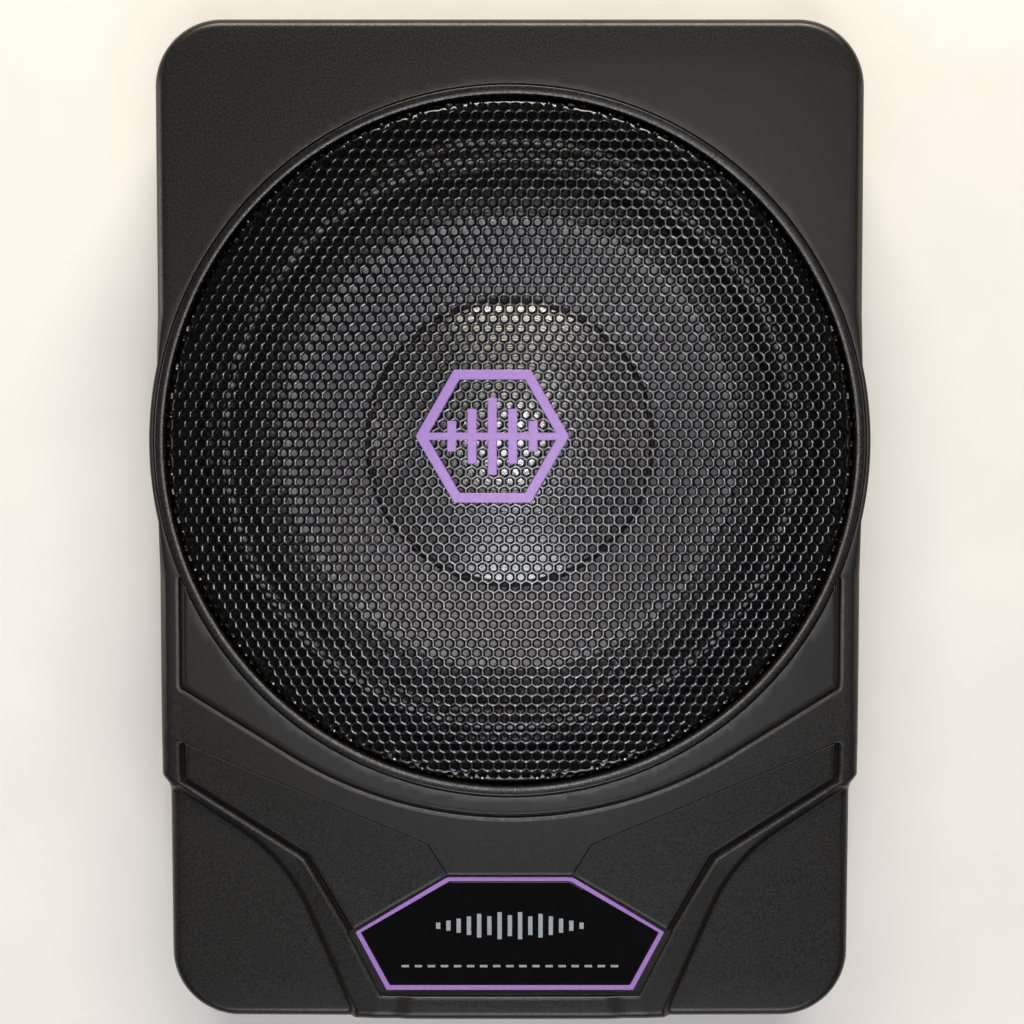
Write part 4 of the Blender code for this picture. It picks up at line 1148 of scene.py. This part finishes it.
def make_surround():
    """The rubber roll in two halves that meet on its crest."""
    base = SURROUND_LOW[2]
    thick = 0.8
    centre, half_width, height = 100.25, 8.75, SURROUND_HIGH[2] - base - thick
    steps = 14

    def roll(start, end, lift, narrow):
        points = []
        for i in range(steps + 1):
            turn = math.pi * (start + (end - start) * i / steps)
            radius = centre - (half_width - narrow) * math.cos(turn)
            points.append((radius, base + lift + height * math.sin(turn)))
        return points

    inner_half = [(80.5, base + thick), (81.2, base + thick + 0.15), (90.6, base + thick)]
    inner_half += roll(0.0, 0.5, thick, 0.0) + list(reversed(roll(0.0, 0.5, 0.0, thick))) + [(80.5, base)]
    outer_half = roll(0.5, 1.0, thick, 0.0)
    outer_half += [(114.6, base + thick), (115.0, base + thick - 0.2), (115.0, base)]
    outer_half += list(reversed(roll(0.5, 1.0, 0.0, thick)))
    inner_piece = revolved("surround_inner_roll", inner_half, RUBBER, None, 160)
    outer_piece = revolved("surround_outer_roll", outer_half, RUBBER, None, 160)
    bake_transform(inner_piece)
    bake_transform(outer_piece)
    stands_for(inner_piece, "surround")


# Control end


def cut_by(made, cutters):
    """Takes cutter pieces out of a piece, and removes them."""
    for cutter in cutters:
        modifier = made.modifiers.new("cut", "BOOLEAN")
        modifier.operation = "DIFFERENCE"
        modifier.solver = "EXACT"
        modifier.object = cutter
    bpy.context.view_layer.update()
    evaluated = made.evaluated_get(bpy.context.evaluated_depsgraph_get())
    made_mesh = bpy.data.meshes.new_from_object(evaluated)
    made.modifiers.clear()
    made.data = made_mesh
    smooth_shaded(made_mesh, 40.0)
    for cutter in cutters:
        bpy.data.objects.remove(cutter, do_unlink=True)


def block_shape(low, high):
    """Corners and faces of a box, for cutters and small printed marks."""
    (x0, y0, z0), (x1, y1, z1) = low, high
    verts = [(x, y, z) for z in (z0, z1) for x, y in ((x0, y0), (x1, y0), (x1, y1), (x0, y1))]
    faces = [(3, 2, 1, 0), (4, 5, 6, 7), (0, 1, 5, 4), (1, 2, 6, 5), (2, 3, 7, 6), (3, 0, 4, 7)]
    return verts, faces


def screw_mesh(radius, height, shank, length):
    """A pan-head screw whose head points up: rounded head, cross recess and plain shank."""
    profile = [(0.0, height), (radius * 0.45, height * 0.97), (radius * 0.75, height * 0.82)]
    profile += [(radius * 0.93, height * 0.5), (radius, height * 0.2), (radius, 0.0), (shank, 0.0)]
    profile += [(shank, -length + shank), (0.0, -length)]
    screw = revolved("screw_blank", profile, SCREW, None, 32, centre=(0.0, 0.0))
    arm, width, depth = radius * 0.62, radius * 0.14, height * 0.62
    cutters = []
    for x, y in ((arm, width), (width, arm)):
        shape = block_shape((-x, -y, height - depth), (x, y, height + 1.0))
        cutters.append(piece("screw_cutter", *shape, SCREW, body=None))
    cut_by(screw, cutters)
    mesh = screw.data
    bpy.data.objects.remove(screw, do_unlink=True)
    return mesh


def place_screw(name, mesh, place, facing, turn=20.0, node=None):
    """A copy of a screw at a place, its head turned to face down or out of the control panel."""
    turned = {"down": Matrix.Rotation(math.pi, 4, "X"), "out": Matrix.Rotation(math.pi / 2, 4, "X")}[facing]
    made = bpy.data.objects.new(name, mesh.copy())
    made.data.transform(turned @ Matrix.Rotation(math.radians(turn), 4, "Z"))
    made.data.transform(Matrix.Translation(Vector(place) * MM))
    bpy.context.collection.objects.link(made)
    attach(made, "cabinet")
    if node:
        return stands_for(made, node)
    return made


def panel_marks():
    """Printed marks: ticks round each knob, dots at the switches and a frame with a line between groups."""
    verts, faces = [], []

    def mark(cx, cz, half_x, half_z, turn=0.0):
        low, high = (-half_x, PANEL_FRONT - 0.05, -half_z), (half_x, PANEL_FRONT + 0.05, half_z)
        points, corners = block_shape(low, high)
        spin, tilt = math.cos(math.radians(turn)), math.sin(math.radians(turn))
        points = [(cx + x * spin + z * tilt, y, cz - x * tilt + z * spin) for x, y, z in points]
        add_shape(verts, faces, (points, corners))

    for name in KNOBS:
        x, _, z = middle(name + "_knob")
        for step in range(11):
            turn = -140.0 + 28.0 * step
            heading = math.radians(turn)
            half_length = 0.85 if step % 5 == 0 else 0.5
            reach = 7.3 + half_length
            mark(x + reach * math.sin(heading), z + reach * math.cos(heading), 0.16, half_length, turn)
        mark(x, z - 10.5, 2.6, 0.3)
    for name in ("phase_slider", "auto_on_slider"):
        x, _, z = middle(name)
        for along in (0.0, 3.0):
            mark(x + along, z + 3.2, 0.35, 0.35)
    for z in (13.0, 49.0):
        mark(0.0, z, 92.5, 0.15)
    for x in (-92.5, -31.0, -16.5, 49.0, 92.5):
        mark(x, 31.0, 0.15, 18.0)
    piece("panel_print", verts, faces, PRINT)


def make_panel():
    softened("panel_plate", "control_panel", PANEL_BLACK, 0.4)
    panel_marks()
    mesh = screw_mesh(2.3, 1.5, 1.3, 1.2)
    places = [(x, z) for x in (-96.6, 96.6) for z in (11.0, 51.0)]
    for number, (x, z) in enumerate(places, 1):
        place_screw(f"panel_screw_{number}", mesh, (x, PANEL_FRONT, z), "out", turn=17.0 * number)


def make_jacks():
    """Two phono jacks: a plated shell, its insulator and contact, and the nut that holds it to the panel."""
    back = PANEL_FRONT - PANEL_HIGH[1] - 0.3
    shell = [(4.9, back - 6.6), (5.25, back - 6.3), (5.25, back), (4.1, back), (4.1, 1.9), (3.85, 2.1)]
    shell += [(3.85, 2.5), (4.15, 2.7), (4.15, 8.1), (4.0, 8.55), (3.7, 8.78), (3.4, 8.7), (3.3, 8.4)]
    shell += [(3.3, 2.0), (3.3, back - 6.6)]
    core = [(3.2, back - 6.0), (3.2, 8.0), (3.0, 8.25), (1.95, 8.25), (1.75, 8.05), (1.75, back - 6.0)]
    contact = [(1.65, back - 6.0), (1.65, 7.2), (1.5, 7.4), (1.3, 7.2), (1.3, 1.0), (0.0, 0.6)]
    contact += [(0.0, back - 6.0)]
    nut = [(4.3, 0.05), (6.2, 0.05), (6.3, 0.3), (6.3, 1.3), (6.0, 1.6), (4.6, 1.6), (4.3, 1.4)]

    def six_flats(turn, _):
        return math.cos(math.pi / 6) / math.cos((turn % (math.pi / 3)) - math.pi / 6)

    for side, insulator in (("left", WHITE_PLASTIC), ("right", RED_PLASTIC)):
        x, _, z = middle("rca_jack_" + side)
        stands_for(turned_out(f"rca_shell_{side}", shell, NICKEL, (x, z)), "rca_jack_" + side)
        turned_out(f"rca_insulator_{side}", core, insulator, (x, z))
        turned_out(f"rca_contact_{side}", contact, NICKEL, (x, z), segments=24)
        turned_out(f"rca_nut_{side}", nut, NICKEL, (x, z), segments=72, lobes=six_flats)


def make_knobs():
    """Fluted knobs with a dished face and a printed pointer."""
    for name in KNOBS:
        low, high = box_mm(name + "_knob")
        x, _, z = middle(name + "_knob")
        radius = high[0] - x
        front = PANEL_FRONT - low[1]

        def flutes(turn, height):
            if height < 2.4 or height > front - 1.2:
                return 1.0
            return 1.0 - 0.045 * (0.5 + 0.5 * math.cos(24 * turn)) ** 0.6

        profile = [(0.0, -5.5), (1.8, -5.5), (1.8, 1.5), (radius - 0.2, 1.5), (radius, 1.7), (radius, 2.2)]
        profile += [(radius - 0.05, 2.5), (radius - 0.3, front - 1.3), (radius - 0.45, front - 0.7)]
        profile += [(radius - 0.8, front - 0.2), (radius - 1.3, front), (radius - 1.7, front - 0.25)]
        profile += [(0.0, front - 0.4)]
        knob = turned_out(name + "_grip", profile, KNOB, (x, z), name + "_control", 144, flutes)
        stands_for(knob, name + "_knob")
        shape = block_shape((x - 0.35, low[1], z + 1.2), (x + 0.35, low[1] + 0.7, z + radius - 0.75))
        pointer = piece(name + "_pointer", *shape, PRINT, name + "_control")


def make_switches():
    """Slide-switch grips with five finger ribs."""
    ribs = 5
    for name in ("phase", "auto_on"):
        (left, front, bottom), (right, back, top) = box_mm(name + "_slider")
        pitch = (right - left) / ribs
        outline = [(left, back), (left, front + 0.35)]
        for number in range(ribs):
            start = left + pitch * number
            outline += [(start + 0.04, front + 0.3), (start + pitch * 0.3, front)]
            outline += [(start + pitch * 0.7, front), (start + pitch - 0.04, front + 0.3)]
        outline += [(right, front + 0.35), (right, back)]
        shape = lofted([[(x, y, z) for x, y in outline] for z in (bottom, top)])
        slider = piece(name + "_slider_grip", *shape, KNOB, name + "_control", angle=20.0)
        stands_for(slider, name + "_slider")


def make_sockets():
    for node, wall, pins in (
        ("high_level_socket", 1.3, [(x, z) for x in (-3.6, 3.6) for z in (-2.3, 2.3)]),
        ("power_socket", 1.4, [(-6.0, 0.0), (0.0, 0.0), (6.0, 0.0)]),
        ("remote_socket", 1.2, [(-2.6, 0.0), (2.6, 0.0)]),
    ):
        softened(node + "_shell", node, SOCKET_BLACK, 0.3)
        low, high = box_mm(node)
        front = low[1]
        cx, _, cz = middle(node)
        half_x, half_z = (1.6, 0.4) if node == "power_socket" else (0.55, 0.55)
        outline = [(-half_x, -half_z), (half_x, -half_z), (half_x, half_z), (-half_x, half_z)]
        verts, faces = [], []
        for x, z in pins:
            rows = []
            for y, scale in ((12.3, 1.0), (2.6, 1.0), (1.9, 0.45)):
                rows.append([(cx + x + a * scale, front + y, cz + z + b * scale) for a, b in outline])
            add_shape(verts, faces, lofted(rows))
        piece(node + "_pins", verts, faces, NICKEL)
        top = high[2] - wall
        ramp = [(2.0, -0.9), (2.0, 0.05), (-2.0, 0.05), (-2.0, -0.9)]
        verts, faces = lofted([[(cx + x, front + y, top + z) for x, z in ramp] for y in (1.0, 6.0)])
        piece(node + "_key", verts, faces, SOCKET_BLACK)
    softened("fuse_holder_shell", "fuse_holder", SOCKET_BLACK, 0.25)


def make_fuse():
    """A blade fuse: a ribbed plastic head with two test points and a waist."""
    fuse = softened("blade_fuse_head", "blade_fuse", FUSE_PLASTIC, 0.35)
    (_, front, bottom), (_, _, top) = box_mm("blade_fuse")
    cx, _, cz = middle("blade_fuse")
    windows = (cx - 5.6, cx + 5.6)
    shapes = []
    for x in windows:
        shapes.append(block_shape((x - 1.1, front - 1.0, cz - 0.7), (x + 1.1, front + 1.2, cz + 0.7)))
    for z in (bottom - 1.0, top - 0.45):
        shapes.append(block_shape((cx - 3.4, front - 1.0, z), (cx + 3.4, front + 2.6, z + 1.45)))
    cut_by(fuse, [piece("fuse_cutter", *shape, FUSE_PLASTIC, body=None) for shape in shapes])
    verts, faces = [], []
    for x in windows:
        contact = block_shape((x - 0.9, front + 0.7, cz - 0.5), (x + 0.9, front + 1.6, cz + 0.5))
        add_shape(verts, faces, contact)
    piece("blade_fuse_contacts", verts, faces, NICKEL)


def make_light():
    x, _, z = middle("power_light")
    dome = [(0.0, -4.4), (1.55, -4.4), (1.55, 0.3), (1.45, 0.75), (1.15, 1.15), (0.65, 1.42), (0.0, 1.5)]
    stands_for(turned_out("power_light_lens", dome, LENS, (x, z), segments=32), "power_light")
    bezel = [(1.75, 0.02), (2.6, 0.02), (2.6, 0.35), (2.3, 0.7), (1.95, 0.7), (1.75, 0.5)]
    turned_out("power_light_bezel", bezel, PANEL_BLACK, (x, z), segments=48)


# Base


def make_base():
    """Screws, feet and stiffening beads under the object."""
    mesh = screw_mesh(3.6, 1.2, 1.8, 13.3)
    for number in range(1, 7):
        node = f"base_screw_{number}"
        x, y, _ = middle(node)
        seat = box_mm(node)[0][2] + 1.2
        place_screw(f"base_screw_fine_{number}", mesh, (x, y, seat), "down", 31.0 * number, node)
    for number in range(1, 5):
        node = f"rubber_foot_{number}"
        low, high = box_mm(node)
        radius = (high[0] - low[0]) / 2
        top = high[2]
        profile = [(0.0, top), (radius - 0.2, top), (radius, top - 0.2), (radius - 0.15, 0.5)]
        profile += [(radius - 0.6, 0.12), (radius - 1.2, 0.0), (radius - 2.6, 0.0), (radius - 3.0, 0.35)]
        profile += [(radius - 3.6, 0.35), (radius - 4.0, 0.05), (0.9, 0.25), (0.0, 0.25)]
        x, y, _ = middle(node)
        foot = revolved(f"foot_pad_{number}", profile, FOOT_RUBBER, segments=64, centre=(x, y))
        stands_for(foot, node)
    make_ribs()


def make_ribs():
    """Stiffening beads pressed into the base plate: rounded ridges along and across it."""
    z = box_mm("base_plate")[0][2]
    verts, faces = [], []

    def bead(x0, y0, x1, y1, half_width=3.2, height=0.9):
        heading = math.degrees(math.atan2(y1 - y0, x1 - x0))
        rows = []
        for share, drop in ((1.0, 0.0), (0.86, 0.3), (0.62, 0.72), (0.35, 0.95), (0.1, 1.0)):
            reach = half_width * share
            loop = arc((x1, y1), reach, heading - 90, heading + 90, 10)
            loop += arc((x0, y0), reach, heading + 90, heading + 270, 10)
            rows.append([(x, y, z - height * drop) for x, y in loop])
        rows.insert(0, [(x, y, z + 0.4) for x, y, _ in rows[0]])
        add_shape(verts, faces, lofted(rows))

    for x in (-62.0, 62.0):
        bead(x, -118.0, x, 118.0)
    for y in (-92.0, 0.0, 92.0):
        bead(-44.0, y, 44.0, y)
    for side in (-1, 1):
        bead(side * 92.0, -100.0, side * 92.0, 100.0, 2.6)
    piece("base_plate_beads", verts, faces, BASE_STEEL)


def make_leads():
    """The two woven leads between the terminal and the cone's neck."""
    for number in (1, 2):
        node = f"tinsel_lead_{number}"
        made = bpy.data.objects.new(f"woven_lead_{number}", frame["nodes"][node].data.copy())
        made.data.materials.clear()
        made.data.materials.append(TINSEL)
        smooth_shaded(made.data, 60.0)
        bpy.context.collection.objects.link(made)
        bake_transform(made)
        stands_for(made, node)


# Nodes that keep their CAD shape


def finish_kept_nodes():
    finishes = {
        "black_steel": BASE_STEEL, "foam": FOAM, "motor_steel": ZINC, "ferrite": FERRITE,
        "former_film": FILM, "copper": COPPER, "spider_cloth": CLOTH, "connector_black": SOCKET_BLACK,
        "cable_jacket": JACKET, "board": BOARD, "toroid_tape": TAPE, "capacitor_sleeve": SLEEVE,
        "bare_aluminium": ALUMINIUM, "epoxy": EPOXY, "switch_metal": ZINC,
    }
    for part in frame["record"]["subparts"]:
        if part["material_slot"] in finishes:
            for slot in frame["nodes"][part["node"]].material_slots:
                slot.material = finishes[part["material_slot"]]


make_stage()
make_housing()
make_ring()
make_grille()
make_badge_and_plate()
make_driver()
make_panel()
make_jacks()
make_knobs()
make_switches()
make_sockets()
make_fuse()
make_light()
make_base()
make_leads()
finish_kept_nodes()

boxes = {"cad": cad_box, "visual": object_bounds()}
{k: [list(map(float, v)) for v in b] for k, b in boxes.items()}
